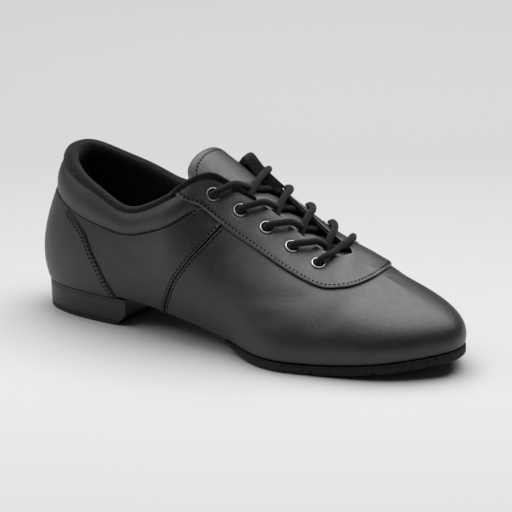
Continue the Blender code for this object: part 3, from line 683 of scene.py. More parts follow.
# The eyestay's pale edge colour is partly the cut edge's own paler tone, partly a painted highlight.
STAY_EDGE_AND_HIGHLIGHT = leather("eyestay cut edge and painted highlight", (0.090, 0.090, 0.092), (0.140, 0.140, 0.143), 0.42)
LABEL_CLOTH = cloth("label cloth", (0.008, 0.008, 0.008), (0.012, 0.012, 0.012), 5000.0, 0.00002)
print("materials", len(bpy.data.materials))

# %% [markdown]
# ## Where the seams run
# Read off the photograph as places on the last: the seam at the side that joins quarter and vamp,
# the front edge of the counter, and the outer edge of the eyestay with its round front. Each is a
# short table, drawn smooth. The medial side mirrors the lateral one.

# %% Seam lines
SIDE_SEAM_UP = (0.0, 0.125, 0.267, 0.358, 0.433, 0.517, 0.617, 0.717, 1.0)
SIDE_SEAM_PLACE = (5.38, 5.58, 5.95, 6.28, 6.76, 7.42, 8.01, 8.41, 9.30)
COLLAR_PLACE = (0.0, 1.0, 1.9, 2.6, 3.4, 4.2, 4.9, 5.8, 6.4, 7.1, 8.0)
COLLAR_UP = (0.700, 0.696, 0.690, 0.690, 0.716, 0.742, 0.752, 0.757, 0.762, 0.770, 0.780)
COUNTER_UP = (0.0, 0.200, 0.333, 0.475, 0.600, 0.675, COLLAR_LINE)
COUNTER_PLACE = (3.80, 3.49, 3.27, 2.97, 2.61, 2.02, 1.30)
STAY_PLACE = (6.0, 6.4, 7.0, 8.0, 9.0, 10.0, 11.0, 12.0, 12.6, 13.2, 14.0, 15.0, 16.0)
STAY_UP = (0.990, 0.895, 0.812, 0.757, 0.724, 0.703, 0.680, 0.645, 0.617, 0.628, 0.735, 0.890, 1.0)
STAY_FROM, STAY_TIP = STAY_PLACE[0], STAY_PLACE[-1]
COUNTER_TOP = 0.692  # share of the way up where the counter's front edges end


def side_place(rise):
    """Place of the side seam at each share of the way up."""
    return open_spline(SIDE_SEAM_UP, SIDE_SEAM_PLACE, rise)


def counter_place(rise):
    """Place of the counter's front edge at each share of the way up."""
    return open_spline(COUNTER_UP, COUNTER_PLACE, rise)


def collar_up(u):
    """Share of the way up where the collar's stitched line runs."""
    return open_spline(COLLAR_PLACE, COLLAR_UP, np.abs(u))


def stay_up(u):
    """Share of the way up where the eyestay's outer edge runs."""
    place = np.minimum(np.mod(u, LOOP), LOOP - np.mod(u, LOOP))
    return open_spline(STAY_PLACE, STAY_UP, place)


def both_sides(place_at, rises):
    """The two lines of a seam, lateral and medial, with their normals, from the foot up."""
    return [surface(side * place_at(rises), rises) for side in (1, -1)]


def stay_low(u):
    """Share of the way up where the eyestay starts: on the ridge at its two ends."""
    at_tip = np.isclose(u, STAY_TIP) | np.isclose(u, LOOP - STAY_TIP)
    return np.where(at_tip, 1.0, stay_up(u))


up_the_side = np.linspace(0.0, 1.0, 160)
side_seams = both_sides(side_place, up_the_side)
counter_edges = both_sides(counter_place, up_the_side * COUNTER_TOP)
stay_run = np.concatenate([np.linspace(STAY_FROM, 13.0, 140), np.linspace(13.0, STAY_TIP, 90)[1:]])
stay_run = np.concatenate([stay_run, LOOP - stay_run[::-1]])
stay_edge = surface(stay_run, stay_low(stay_run))
print("side seam", round(running(side_seams[0][0])[-1], 3),
      "eyestay edge", round(running(stay_edge[0])[-1], 3))

# %% [markdown]
# ## Where the eyelets sit
# Five a side, evenly spaced along the facing and the same distance in from its edge.

# %% Eyelet places
EYELETS = 5
EYELET_FROM, EYELET_TO = 7.75, 11.5
EYELET_INSET = 0.0108
EYELET_BORE = 0.0030
HOLE = 0.0035  # radius of the hole punched for an eyelet


def eyelet_places(side):
    """Places of one side's eyelets round the shoe, and their shares of the way up."""
    fine = np.linspace(EYELET_FROM, EYELET_TO, 60)
    if side > 0:
        fine = LOOP - fine
    share = 1.0 - EYELET_INSET / section_length(fine)
    run = running(surface(fine, share)[0])
    wanted = np.linspace(0.0, run[-1], EYELETS)
    return np.interp(wanted, run, fine), np.interp(wanted, run, share)


EYELET_SEATS = {side: surface(*eyelet_places(side)) for side in (-1, 1)}
seat_points = np.concatenate([EYELET_SEATS[side][0] for side in (-1, 1)])
seat_normals = np.concatenate([EYELET_SEATS[side][1] for side in (-1, 1)])


def punch(bm):
    """Punch the eyelet holes through a sheet: drop the faces inside and draw the rim into a circle."""
    bm.faces.ensure_lookup_table()
    centres = np.array([face.calc_center_median() for face in bm.faces])
    for middle, normal in zip(seat_points, seat_normals):
        inside = np.nonzero(np.linalg.norm(centres - middle, axis=1) < HOLE + 0.0008)[0]
        doomed = [bm.faces[i] for i in inside
                  if np.linalg.norm(np.cross(centres[i] - middle, normal)) < HOLE]
        rim = {vert for face in doomed for vert in face.verts}
        bmesh.ops.delete(bm, geom=doomed, context="FACES_ONLY")
        for vert in rim:
            if any(not face.is_valid for face in vert.link_faces) or not vert.link_faces:
                continue
            away = np.array(vert.co) - middle
            height = away @ normal
            away = away - height * normal
            vert.co = middle + away / np.linalg.norm(away) * HOLE + height * normal
        bm.faces.ensure_lookup_table()
        centres = np.array([face.calc_center_median() for face in bm.faces])
    bmesh.ops.delete(bm, geom=[vert for vert in bm.verts if not vert.link_faces], context="VERTS")
    bmesh.ops.delete(bm, geom=[edge for edge in bm.edges if not edge.link_faces], context="EDGES")


eyelet_spacing = float(np.linalg.norm(seat_points[1] - seat_points[0]))
print("eyelets", len(seat_points), "spacing", round(eyelet_spacing, 4))

# %% [markdown]
# ## The upper's leather
# Two pieces: the quarters, one piece of leather that wraps the heel from side seam to side seam,
# and the vamp, which wraps the toe. Between them a narrow gap shows the dark lining. The collar is
# padded above its stitched line, and the leather turns in under the foot at the bottom.

# %% Quarters
SEAM_GAP = 0.00045  # half the open width of the side seam
LEATHER = 0.0009
SEAM_STITCH = 0.00180  # side seam's middle to each row of stitches
turned_under = np.concatenate([[-1.0, -0.75, -0.5, -0.3, -0.15, -0.06],
                               np.linspace(-ROUND_SHARE, ROUND_SHARE, 7)])
QUARTER_RISES = np.concatenate([
    turned_under, np.arange(0.034, 0.695, 0.0125),
    [0.700, 0.709, 0.716, 0.722, 0.7275, 0.7315, 0.735, 0.7385, 0.7425, 0.748, 0.755, 0.765, 0.778],
    np.arange(0.792, 0.980, 0.0125), [0.985, 0.990, 0.994, 0.997, 1.0]])


def seam_gap(place_at, rises):
    """Half the seam's gap, as a part of one place."""
    place = place_at(rises)
    step = shell(place + 0.05, rises) - shell(place - 0.05, rises)
    return SEAM_GAP * 0.1 / np.maximum(np.linalg.norm(step, axis=1), 1e-4)


def seam_relief(points):
    """The side seams' rolled edges, and the furrows that the stitches pull."""
    away = np.minimum(distance_to(side_seams[0][0], points), distance_to(side_seams[1][0], points))
    return (rolled(away - SEAM_GAP, 0.00040, 0.0006) + furrow(away - SEAM_STITCH, 0.00016, 0.00040)
            + 0.00018 * np.exp(-((away - 0.00115) / 0.00045)**2))


# A soft trough in the leather: places and shares along it, its depth and its width
Fold = namedtuple("Fold", "places shares depth width")
FOLDS = [
    Fold((9.3, 10.4, 11.4), (0.30, 0.40, 0.50), 0.00045, 0.0065),
    Fold((8.2, 9.6, 11.0), (0.14, 0.20, 0.30), 0.00045, 0.0060),
    Fold((7.4, 8.2, 9.0), (0.34, 0.46, 0.58), 0.00022, 0.0050),
    Fold((4.4, 5.0, 5.5), (0.52, 0.50, 0.54), 0.00050, 0.0060),
    Fold((12.6, 13.4, 14.2), (0.30, 0.46, 0.60), 0.00035, 0.0060),
    Fold((28.7, 27.6, 26.6), (0.30, 0.40, 0.50), 0.00060, 0.0065),
    Fold((30.4, 29.4, 28.4), (0.24, 0.34, 0.46), 0.00045, 0.0055),
    Fold((33.6, 33.0, 32.5), (0.52, 0.50, 0.54), 0.00050, 0.0060),
]


def fold_relief(points):
    """All the soft troughs together."""
    relief = np.zeros(points.shape[:-1])
    for fold in FOLDS:
        along = np.linspace(0, len(fold.places) - 1, 24)
        knots = np.arange(len(fold.places))
        line = surface(open_spline(knots, fold.places, along), open_spline(knots, fold.shares, along))[0]
        relief += furrow(distance_to(line, points), fold.depth, fold.width)
    return relief


def quarter_grid():
    """Points of the quarters, from the medial side seam round the heel to the lateral one."""
    rises = QUARTER_RISES
    edge = side_place(rises) - seam_gap(side_place, rises)
    shares = spaced(0.250, 0.00135)
    u = (2 * shares[:, None] - 1) * edge[None, :]
    near_line = np.clip(1.0 - np.abs(rises - COLLAR_LINE) / 0.25, 0.0, 1.0)
    for _ in range(3):
        line = collar_up(u)
        rise = rises + (line - COLLAR_LINE) * near_line
        u = (2 * shares[:, None] - 1) * (side_place(rise) - seam_gap(side_place, rises))
    base, normal = surface(u, rise)
    above = np.clip((rise - line) / (1.0 - line), 0.0, 1.0)
    sewn = smooth_step((7.9 - np.abs(u)) / 0.3)
    relief = seam_relief(base) + fold_relief(base)
    relief = relief + furrow((rise - line) * 0.1, 0.00050, 0.00065) * sewn
    relief = relief + 0.0016 * np.sin(np.pi * above**0.62) * smooth_step((7.3 - np.abs(u)) / 0.8)
    relief = relief + rolled((1.0 - rise) * 0.1, 0.0004, 0.0008)
    return base + normal * relief[..., None]


def make_quarters():
    """Make the quarters."""
    bm = grid_sheet(quarter_grid())
    punch(bm)
    quarters = finish("quarters", bm, [UPPER_LEATHER, CUT_EDGE], ["upper"])
    return add_wall(quarters, LEATHER, rim=1)


print("quarters", len(make_quarters().data.polygons))

# %% Vamp


def soften_ridge(bm, start, end, reach=0.010):
    """Round off the crease where the two sides meet along the top of the vamp."""
    ridge = surface(np.linspace(start, end, 80), np.ones(80))[0]
    verts = [vert for vert in bm.verts if not vert.is_boundary]
    away = distance_to(ridge, np.array([vert.co for vert in verts]))
    chosen = [vert for vert, distance in zip(verts, away) if distance < reach]
    for _ in range(60):
        bmesh.ops.smooth_vert(bm, verts=chosen, factor=0.5,
                              use_axis_x=True, use_axis_y=True, use_axis_z=True)


VAMP_RISES = np.concatenate([
    turned_under, np.arange(0.034, 0.980, 0.0145), [0.985, 0.990, 0.994, 0.997, 1.0]])


def vamp_grid():
    """Points of the vamp, from the lateral side seam round the toe to the medial one."""
    rises = VAMP_RISES
    start = side_place(rises) + seam_gap(side_place, rises)
    shares = spaced(0.380, 0.0015)
    u = start[None, :] + shares[:, None] * (LOOP - 2 * start)[None, :]
    rise = np.broadcast_to(rises, u.shape)
    base, normal = surface(u, rise)
    place = np.minimum(u, LOOP - u)
    open_edge = smooth_step((CLOSED_FROM + 0.2 - place) / 0.4)
    relief = seam_relief(base) + fold_relief(base)
    relief = relief + rolled((1.0 - rise) * 0.07, 0.0004, 0.0008) * open_edge
    return base + normal * relief[..., None]


def make_vamp():
    """Make the vamp, closed along its ridge ahead of the throat."""
    bm = grid_sheet(vamp_grid())
    bmesh.ops.remove_doubles(bm, verts=bm.verts, dist=2e-6)
    soften_ridge(bm, 14.2, LAST)
    punch(bm)
    vamp = finish("vamp", bm, [UPPER_LEATHER, CUT_EDGE], ["upper"])
    return add_wall(vamp, LEATHER, rim=1)


print("vamp", len(make_vamp().data.polygons))

# %% [markdown]
# ## The lining
# Behind the leather lies the cloth lining. It is one shell round the whole shoe, and it is also
# what shows, black, in the gap of the side seam.

# %% Lining


LINING_GAP = 0.00006
RIDGE_ROOM = 0.0018  # how far the lining lies back under the softened ridge


def make_lining():
    """Make the cloth lining inside the upper."""
    rises = np.concatenate([np.linspace(0.0, 0.97, 40), [0.985, 1.0]])
    u, rise = np.meshgrid(np.arange(LOOP * 5 + 1) / 5, rises, indexing="ij")
    under_ridge = smooth_step((np.minimum(u, LOOP - u) - 13.4) / 0.8) * smooth_step((rise - 0.5) / 0.3)
    points = surface(u, rise, -LEATHER - LINING_GAP - RIDGE_ROOM * under_ridge)[0]
    bm = grid_sheet(points)
    bmesh.ops.remove_doubles(bm, verts=bm.verts, dist=2e-6)
    punch(bm)
    lining = finish("lining", bm, LINING_CLOTH, ["upper"])
    return add_wall(lining, WALL - LEATHER - LINING_GAP)


print("lining", len(make_lining().data.polygons))

# %% [markdown]
# ## The counter
# A separate piece of leather stitched over the back of the heel with two rows of thread at each
# front edge. It lies on the quarters, so it is lifted by its own thickness and its edges are rounded.

# %% Counter
OVERLAY = 0.0009
COUNTER_LIFT = OVERLAY + 0.00005
COUNTER_ROWS = (0.0009, 0.0028)  # counter's edge to each row of stitches


def counter_grid():
    """Points of the counter, from its medial edge round the heel to its lateral edge."""
    rises = np.concatenate([[-0.15, -0.06], np.linspace(-ROUND_SHARE, ROUND_SHARE, 7),
                            np.arange(0.034, 0.715, 0.0125), [0.719, 0.724, 0.728, 0.731]])
    shares = spaced(0.100, 0.0013)
    u = (2 * shares[:, None] - 1) * counter_place(rises)[None, :]
    for _ in range(3):
        rise = rises * np.where(rises > 0, (collar_up(u) - 0.002) / COLLAR_LINE, 1.0)
        u = (2 * shares[:, None] - 1) * counter_place(rise)
    base, normal = surface(u, rise)
    edge = np.minimum(distance_to(counter_edges[0][0], base), distance_to(counter_edges[1][0], base))
    top = (0.731 - rises) * 0.1
    relief = rolled(np.minimum(edge, top), 0.00055, 0.0011)
    for row in COUNTER_ROWS:
        relief = relief + furrow(edge - row, 0.00020, 0.00045)
    lift = COUNTER_LIFT + relief
    return base + normal * lift[..., None]


def make_counter():
    """Make the counter."""
    bm = grid_sheet(counter_grid())
    counter = finish("counter_leather", bm, UPPER_LEATHER, ["counter"])
    return add_wall(counter, OVERLAY)


print("counter", len(make_counter().data.polygons))

# %% [markdown]
# ## The eyestay
# A U of leather, painted lighter than the upper as painted light, that carries the eyelets and closes
# round the throat's front.
# Its rounded cut edge is pale, partly its own paler colour and partly a painted highlight, and a row of
# stitches runs just inside it.

# %% Eyestay
STAY_THICKNESS = 0.0014
STAY_LIFT = 0.0015
STAY_STITCH = 0.0020  # eyestay's outer edge to its stitches
STAY_EDGE = 0.00165  # how near its outline on the leather below the pale band reaches: the cut edge's own paler colour and a painted highlight
throat_run = np.linspace(STAY_FROM, CLOSED_FROM, 160)
facing_edges = [surface(throat_run, np.ones_like(throat_run)),
                surface(LOOP - throat_run, np.ones_like(throat_run))]


def stay_relief(points):
    """The eyestay's rounded edges, its stitched furrow and the dish round each eyelet."""
    outer = distance_to(stay_edge[0], points)
    inner = np.minimum(distance_to(facing_edges[0][0], points), distance_to(facing_edges[1][0], points))
    eyelet = np.min(np.linalg.norm(points[..., None, :] - seat_points, axis=-1), axis=-1)
    return (rolled(outer, 0.0006, 0.0008) + furrow(outer - STAY_STITCH, 0.00022, 0.00042)
            + 0.00015 * np.exp(-((outer - 0.0011) / 0.0004)**2)
            + rolled(inner, 0.0003, 0.0006) + furrow(eyelet - 0.0042, 0.00030, 0.0009)
            + furrow(eyelet, 0.0002, 0.0040))


def make_eyestay():
    """Make the eyestay."""
    low = stay_low(stay_run)
    shares = spaced(0.024, 0.0009)
    rise = low[:, None] + (1.0 - low)[:, None] * shares[None, :]
    u = np.broadcast_to(stay_run[:, None], rise.shape)
    base, normal = surface(u, rise)
    lift = STAY_LIFT + stay_relief(base)
    bm = grid_sheet(base + normal * lift[..., None])
    bmesh.ops.remove_doubles(bm, verts=bm.verts, dist=2e-6)
    soften_ridge(bm, 13.9, STAY_TIP, 0.0055)
    punch(bm)
    middles = np.array([face.calc_center_median() for face in bm.faces])
    outer = distance_to(stay_edge[0], middles)
    inner = np.minimum(distance_to(facing_edges[0][0], middles), distance_to(facing_edges[1][0], middles))
    # Faces near either edge take the pale edge colour: the cut edge's paler tone and a painted highlight.
    for face, out, into in zip(bm.faces, outer, inner):
        face.material_index = int(out < STAY_EDGE or into < STAY_EDGE)
    stay = finish("eyestay_leather", bm, [STAY_LEATHER_LIT, STAY_EDGE_AND_HIGHLIGHT], ["eyestay"])
    return add_wall(stay, STAY_THICKNESS, rim=1)


print("eyestay", len(make_eyestay().data.polygons))

# %% [markdown]
# ## The stitches
# Every seam is sewn with black thread. Each stitch is its own short capsule that lies in the
# furrow and stands a little over it, so the rows read as dashes from any side.

# %% Stitch rows


def lifted(line, height):
    """A line moved off the surface along its normals."""
    return line[0] + line[1] * height, line[1]


def side_rows(lines, offsets, height):
    """Rows beside each line, all on the side that an offset names."""
    rows = []
    for sign, (points, normals) in zip((1, -1), lines):
        for offset in offsets:
            rows.append(lifted((beside(points, normals, sign * offset), normals), height))
    return rows


def cut_where(row, keep):
    """Keep only the part of a row that passes a test."""
    return row[0][keep], row[1][keep]


below_stay = up_the_side < 0.715
seam_rows = [cut_where(row, below_stay & (up_the_side > 0.012))
             for row in side_rows(side_seams, (SEAM_STITCH, -SEAM_STITCH), 0.00006)]
stitch_rows("side_seam_thread", seam_rows, THREAD, "upper")
counter_rows = [cut_where(row, (up_the_side > 0.015) & (up_the_side < 0.985))
                for row in side_rows(counter_edges, COUNTER_ROWS, COUNTER_LIFT + 0.00002)]
stitch_rows("counter_thread", counter_rows, THREAD, "counter")
stay_row = lifted(inset_row(*stay_edge, STAY_STITCH), STAY_LIFT + 0.00002)
stitch_rows("eyestay_thread", [stay_row], THREAD, "eyestay")
collar_run = np.linspace(-7.15, 7.15, 300)
collar_row = surface(collar_run, collar_up(collar_run), -0.00016)
stitch_rows("collar_thread", [collar_row], THREAD, "upper")

# %% [markdown]
# ## The eyelets
# A rolled metal eyelet: a rounded flange on top, a barrel through the hole, and a clenched rim
# below. Each is one profile spun round the hole's axis.

# %% Eyelet metal and shape


def metal(name, color, gloss):
    """Dark plated metal, a little uneven in its gloss."""
    material, tree, shader = new_material(name, color, gloss, 1.0)
    dark = tuple(0.7 * part for part in color)
    set_inputs(tree, shader, {
        "Roughness": ranged(tree, noise(tree, 900.0, 3.0), gloss - 0.06, gloss + 0.10),
        "Base Color": shaded(tree, noise(tree, 500.0, 3.0), dark, color),
        "Normal": bump(tree, noise(tree, 1200.0, 2.0), 0.00002)})
    return material


EYELET_METAL = metal("eyelet metal", (0.55, 0.55, 0.56), 0.30)
EYELET_SEAT = STAY_LIFT - 0.00025


def make_eyelet(name, middle, normal, node):
    """Spin one eyelet and set it in its hole."""
    crest = [(0.00360 + 0.00052 * math.cos(angle), 0.00026 + 0.00050 * math.sin(angle))
             for angle in np.linspace(math.pi, 0.0, 11)]
    profile = [(EYELET_BORE, -0.0036), (EYELET_BORE, -0.0008), *crest, (0.00402, -0.00004),
               (0.00335, -0.00004), (0.00335, -0.0034), (0.00395, -0.0036), (0.00400, -0.0039),
               (0.00350, -0.0041), (0.00306, -0.0040)]
    bm = bmesh.new()
    verts = [bm.verts.new((radius, 0.0, height)) for radius, height in profile]
    edges = [bm.edges.new(pair) for pair in zip(verts, verts[1:] + verts[:1])]
    bmesh.ops.spin(bm, geom=verts + edges, cent=(0, 0, 0), axis=(0, 0, 1), angle=2 * math.pi,
                   steps=40, use_merge=True)
    bmesh.ops.remove_doubles(bm, verts=bm.verts, dist=1e-7)
    bmesh.ops.recalc_face_normals(bm, faces=bm.faces)
    turn = Vector((0, 0, 1)).rotation_difference(Vector(normal)).to_matrix().to_4x4()
    seat = Vector(middle + normal * EYELET_SEAT)
    bmesh.ops.transform(bm, matrix=Matrix.Translation(seat) @ turn, verts=bm.verts)
    return finish(name, bm, EYELET_METAL, [node], sharp=60.0, weld=1e-8)


for side, word in ((-1, "lateral"), (1, "medial")):
    for number, (middle, normal) in enumerate(zip(*EYELET_SEATS[side]), 1):
        make_eyelet(f"rolled_eyelet_{word}_{number}", middle, normal, f"eyelet_{word}_{number}")
print("eyelets made")

# %% [markdown]
# ## The lace's route
# The lace is one cord. It lies straight across the throat's front, goes down through the front
# eyelets, and from there each half passes under its facing, comes up in the gap, crosses over
# the other half, lies over the far facing and goes down through the next eyelet. It ends, hidden,
# under the top eyelets.

# %% Tongue section and lace route
LACE_RADIUS = 0.0020
TONGUE_UNDERLAP = 0.014
TONGUE_FROM, TONGUE_TO = 8.3, 12.85
TONGUE_ROOM = 0.0018
UP = np.array([0.0, 0.0, 1.0])


def tongue_section(u):
    """Points across the tongue's upper face at one place, from the lateral edge to the medial."""
    lift = -(WALL + JOINT_GAP + TONGUE_ROOM * float(smooth_step((TONGUE_TO - u) / 2.0)))
    sides = []
    for place in (u, LOOP - u):
        down = np.array([1.0, 0.65, 0.3]) * TONGUE_UNDERLAP / section_length(place)[0]
        sides.append(surface(np.full(3, float(place)), 1.0 - down, lift)[0])
    lateral, medial = sides
    chord = np.linalg.norm(medial[-1] - lateral[-1]) / 3
    handles = [lateral[-1], lateral[-1] + unit(lateral[-1] - lateral[-2]) * chord,
               medial[-1] + unit(medial[-1] - medial[-2]) * chord, medial[-1]]
    arc = bezier(handles, np.array([0.2, 0.4, 0.6, 0.8])[:, None])
    return np.concatenate([lateral, arc, medial[::-1]])


def over_place(side, number):
    """Place where the lace lies over the facing's edge on its way to an eyelet."""
    places = eyelet_places(side)[0]
    if number == EYELETS - 1:
        return places[number] + (0.30 if side < 0 else -0.30)
    return places[number] + 0.56 * (places[number + 1] - places[number])


def down_through(side, number):
    """Points from the facing's edge over the eyestay, down through an eyelet, and below it."""
    places, shares = eyelet_places(side)
    place, share = places[number], shares[number]
    edge_place = over_place(side, number)
    over = STAY_LIFT + LACE_RADIUS
    middle, normal = (each[0] for each in surface([place], [share]))
    hump = 0.0012 if side < 0 and number < EYELETS - 1 else 0.0001
    half_way = 0.45 * place + 0.55 * edge_place
    return [surface([edge_place], [1.0], over + hump)[0][0],
            surface([half_way], [1.0 - (1.0 - share) * 0.52], over + 0.0009 + hump * 0.5)[0][0],
            middle + normal * (STAY_LIFT + 0.0010), middle - normal * (WALL + 0.0012)]


# Heights of a strand over the straight line across the gap, each at a share of the way
ON_TOP = ((0.52, 0.0024),)
BELOW = ((0.50, -0.0007),)


def across_the_gap(side, number, heights):
    """Points from below the facing on one side up into the gap, and across it."""
    own = eyelet_places(side)[0][number + 1]
    far = over_place(-side, number)
    below = -(WALL + LACE_RADIUS + 0.0003)
    share = 1.0 - 0.5 * EYELET_INSET / section_length(own)[0]
    start = surface([own], [1.0], below + 0.0004)[0][0]
    end = surface([far], [1.0], STAY_LIFT + LACE_RADIUS)[0][0]
    return [surface([own], [share], below - 0.0006)[0][0], start] + [
        start + (end - start) * along + UP * height for along, height in heights]


def half_lace(side):
    """Points of one half of the lace, from the bar's end to its hidden end below the top eyelet."""
    points = down_through(side, EYELETS - 1)
    for number in range(EYELETS - 2, -1, -1):
        on_top = side < 0  # this strand goes to the medial side
        points += across_the_gap(side, number, ON_TOP if on_top else BELOW)
        side = -side
        points += down_through(side, number)
    places, shares = eyelet_places(side)
    inner = surface([places[0]], [shares[0] + 0.03], -(WALL + LACE_RADIUS + 0.0016))[0][0]
    return points + [inner]


def lace_route():
    """The whole lace as one smooth line of points an even step apart."""
    lateral, medial = half_lace(-1), half_lace(1)
    middle = (lateral[0] + medial[0]) / 2 + UP * 0.0004
    points = np.array(lateral[::-1] + [middle] + medial)
    knots = np.concatenate([[0.0], np.cumsum(np.linalg.norm(np.diff(points, axis=0), axis=1)**0.5)])
    return resampled(open_spline(knots, points, np.linspace(0.0, knots[-1], 3000)), 0.00045)


lace_line = lace_route()
print("lace", round(float(running(lace_line)[-1]), 3), "m long, as far as it is built")

# %% Lace cord


def braid(name, dark, light):
    """Round braided cord: small diamonds that follow the piece's own UV map, with painted shade in the
    crevices between them.
    """
    material, tree, shader = new_material(name, light, 0.9)
    parts = add_node(tree, "SeparateXYZ", {"Vector": own_place(tree, "UV")})

    def step(operation, first, second=None):
        node = tree.nodes.new("ShaderNodeMath")
        node.operation = operation
        for socket, value in zip(node.inputs, (first, second)):
            if isinstance(value, float):
                socket.default_value = value
            elif value is not None:
                tree.links.new(value, socket)
        return node.outputs["Value"]

    along = step("MULTIPLY", parts.outputs["X"], math.pi * LACE_TURNS)
    around_cord = step("MULTIPLY", parts.outputs["Y"], math.pi * LACE_STRANDS)
    ridges = [step("ABSOLUTE", step("SINE", step(kind, along, around_cord)))
              for kind in ("ADD", "SUBTRACT")]
    diamonds = step("MULTIPLY", *ridges)
    relief = bump(tree, diamonds, 0.00022)
    # The colour follows the diamonds' relief: painted shade in the crevices, lighter on the crests.
    set_inputs(tree, shader, {
        "Normal": bump(tree, noise(tree, 5000.0, 2.0), 0.00003, under=relief),
        "Base Color": shaded(tree, diamonds, dark, light),
        "Specular IOR Level": 0.25, "Sheen Weight": 0.12, "Sheen Roughness": 0.45})
    return material


LACE_STRANDS = 8.0
LACE_TURNS = float(round(running(lace_line)[-1] / 0.0015))
LACE_CORD = braid("lace cord", (0.004, 0.004, 0.004), (0.020, 0.020, 0.021))


def carried_frames(line):
    """Tangents along a line, and a side direction carried along it without twist."""
    tangents = unit(np.gradient(line, axis=0))
    side = unit(np.cross(tangents[0], UP))
    sides = []
    for tangent in tangents:
        side = unit(side - tangent * (side @ tangent))
        sides.append(side)
    return tangents, np.array(sides)


def make_lace():
    """Skin the lace's line with a round cord."""
    tangents, sides = carried_frames(lace_line)
    angles = -2.0 * np.pi * np.arange(15) / 14
    ring = (np.cos(angles)[None, :, None] * sides[:, None]
            + np.sin(angles)[None, :, None] * np.cross(tangents, sides)[:, None])
    bm = grid_sheet(lace_line[:, None] + ring * LACE_RADIUS)
    bmesh.ops.remove_doubles(bm, verts=bm.verts, dist=1e-6)
    bmesh.ops.holes_fill(bm, edges=[edge for edge in bm.edges if edge.is_boundary], sides=0)
    nodes = [f"lace_cross_{number}" for number in range(1, EYELETS)] + ["lace_bar"]
    return finish("lace", bm, LACE_CORD, nodes, sharp=80.0, weld=1e-8)


print("lace faces", len(make_lace().data.polygons))

# %% [markdown]
# ## The tongue
# Lightly padded leather with a turned and stitched edge. It starts under the vamp, lies below both
# facings and stands up with a rounded top. Where the lace passes below a facing, it presses the
# padding down.

# %% Tongue
TONGUE_RISE = 0.029
TONGUE_THICKNESS = 0.0022
TURNED_EDGE = 0.0046  # how far its stitches and its turned edge reach in
Taper = namedtuple("Taper", "rise width arch")
TONGUE_TOP = [Taper(1.00, 1.03, 0.78), Taper(0.84, 1.03, 1.12),
              Taper(0.55, 1.04, 1.16), Taper(0.27, 1.03, 1.10)]
CORNER_DROP = 0.17  # how much lower the top edge lies at its corners, as a share of its rise


def tongue_frame():
    """Rows of points that the tongue is drawn through, from its top down to its seat."""
    under = [tongue_section(u) for u in np.linspace(TONGUE_FROM, TONGUE_TO, 10)]
    base, middle = under[0], under[0].mean(axis=0)
    rise = unit(middle - under[1].mean(axis=0))
    off_middle = np.abs(np.linspace(-1.0, 1.0, len(base)))
    rows = []
    for taper in TONGUE_TOP:
        drop = CORNER_DROP * float(smooth_step((taper.rise - 0.5) / 0.5)) * off_middle**5
        height = TONGUE_RISE * (taper.rise - drop)
        wide = (base - middle) * (taper.width, taper.width, taper.arch)
        rows.append(middle + wide + rise * height[:, None])
    return np.array(rows + under)


def spread_over(frame, rows, columns):
    """Read a smooth sheet through a frame of points, at shares of the way down and across."""
    down = np.arange(frame.shape[0]) / (frame.shape[0] - 1)
    across = np.arange(frame.shape[1]) / (frame.shape[1] - 1)
    lines = np.stack([open_spline(down, frame[:, j], rows) for j in range(frame.shape[1])], axis=1)
    return np.stack([open_spline(across, line, columns) for line in lines])


def sheet_normals(points):
    """Normals of a sheet given as rows of points."""
    return unit(np.cross(np.gradient(points, axis=1), np.gradient(points, axis=0)))


tongue_points = spread_over(tongue_frame(), spaced(0.125, 0.0011), spaced(0.065, 0.0011))
tongue_normals = sheet_normals(tongue_points)
if tongue_normals[..., 2].mean() < 0:
    tongue_normals = -tongue_normals
RIM_ROWS = 45  # rows of the sheet down to which its side edges are turned
tongue_rim = np.concatenate([tongue_points[RIM_ROWS:0:-1, 0], tongue_points[0],
                             tongue_points[1:RIM_ROWS + 1, -1]])


PRESS_REACH = 0.0062  # how near the lace has to come to press the padding down
PRESS_WIDTH = 0.0032  # half the width of the trough that it presses
DEEPEST_PRESS = 0.0050


def press_down(points, normals):
    """How far the lace presses each point of the tongue down."""
    tree = search_tree(lace_line)
    pressed = np.zeros(points.shape[:-1])
    for index in np.ndindex(pressed.shape):
        for point, _, _ in tree.find_range(points[index] - normals[index] * 0.001, PRESS_REACH):
            away = np.array(point) - points[index]
            height = away @ normals[index]
            beside_it = np.linalg.norm(away - height * normals[index])
            need = (LACE_RADIUS + JOINT_GAP) * math.exp(-(beside_it / PRESS_WIDTH)**2) - height
            pressed[index] = max(pressed[index], need)
    return np.minimum(pressed, DEEPEST_PRESS)


def make_tongue():
    """Make the tongue."""
    edge = distance_to(tongue_rim, tongue_points)
    relief = (rolled(edge, 0.0009, 0.0014) + furrow(edge - TURNED_EDGE, 0.00030, 0.00055)
              + 0.00025 * (1.0 - smooth_step((edge - TURNED_EDGE) / 0.0008)))
    relief = relief - press_down(tongue_points, tongue_normals)
    points = tongue_points + tongue_normals * relief[..., None]
    bm = grid_sheet(points)
    if sum(face.normal.z for face in bm.faces) < 0:
        bmesh.ops.reverse_faces(bm, faces=bm.faces)
    tongue = finish("tongue_leather", bm, TONGUE_LEATHER_LIT, ["tongue"])
    add_wall(tongue, TONGUE_THICKNESS)
    return tongue


print("tongue", len(make_tongue().data.polygons))

# %% Tongue stitches
STITCHES_FROM_ROW = 36.0  # row from whose middle the stitched line is looked for


def read_between(grid, row, column):
    """Values of a grid between its points, at rows and columns given as real numbers."""
    i, j = (np.clip(at.astype(int), 0, size - 2) for at, size in zip((row, column), grid.shape))
    di, dj = ((at - whole)[:, None] for at, whole in ((row, i), (column, j)))
    flat = grid.reshape(*grid.shape[:2], -1)
    return ((1 - di) * ((1 - dj) * flat[i, j] + dj * flat[i, j + 1])
            + di * ((1 - dj) * flat[i + 1, j] + dj * flat[i + 1, j + 1]))


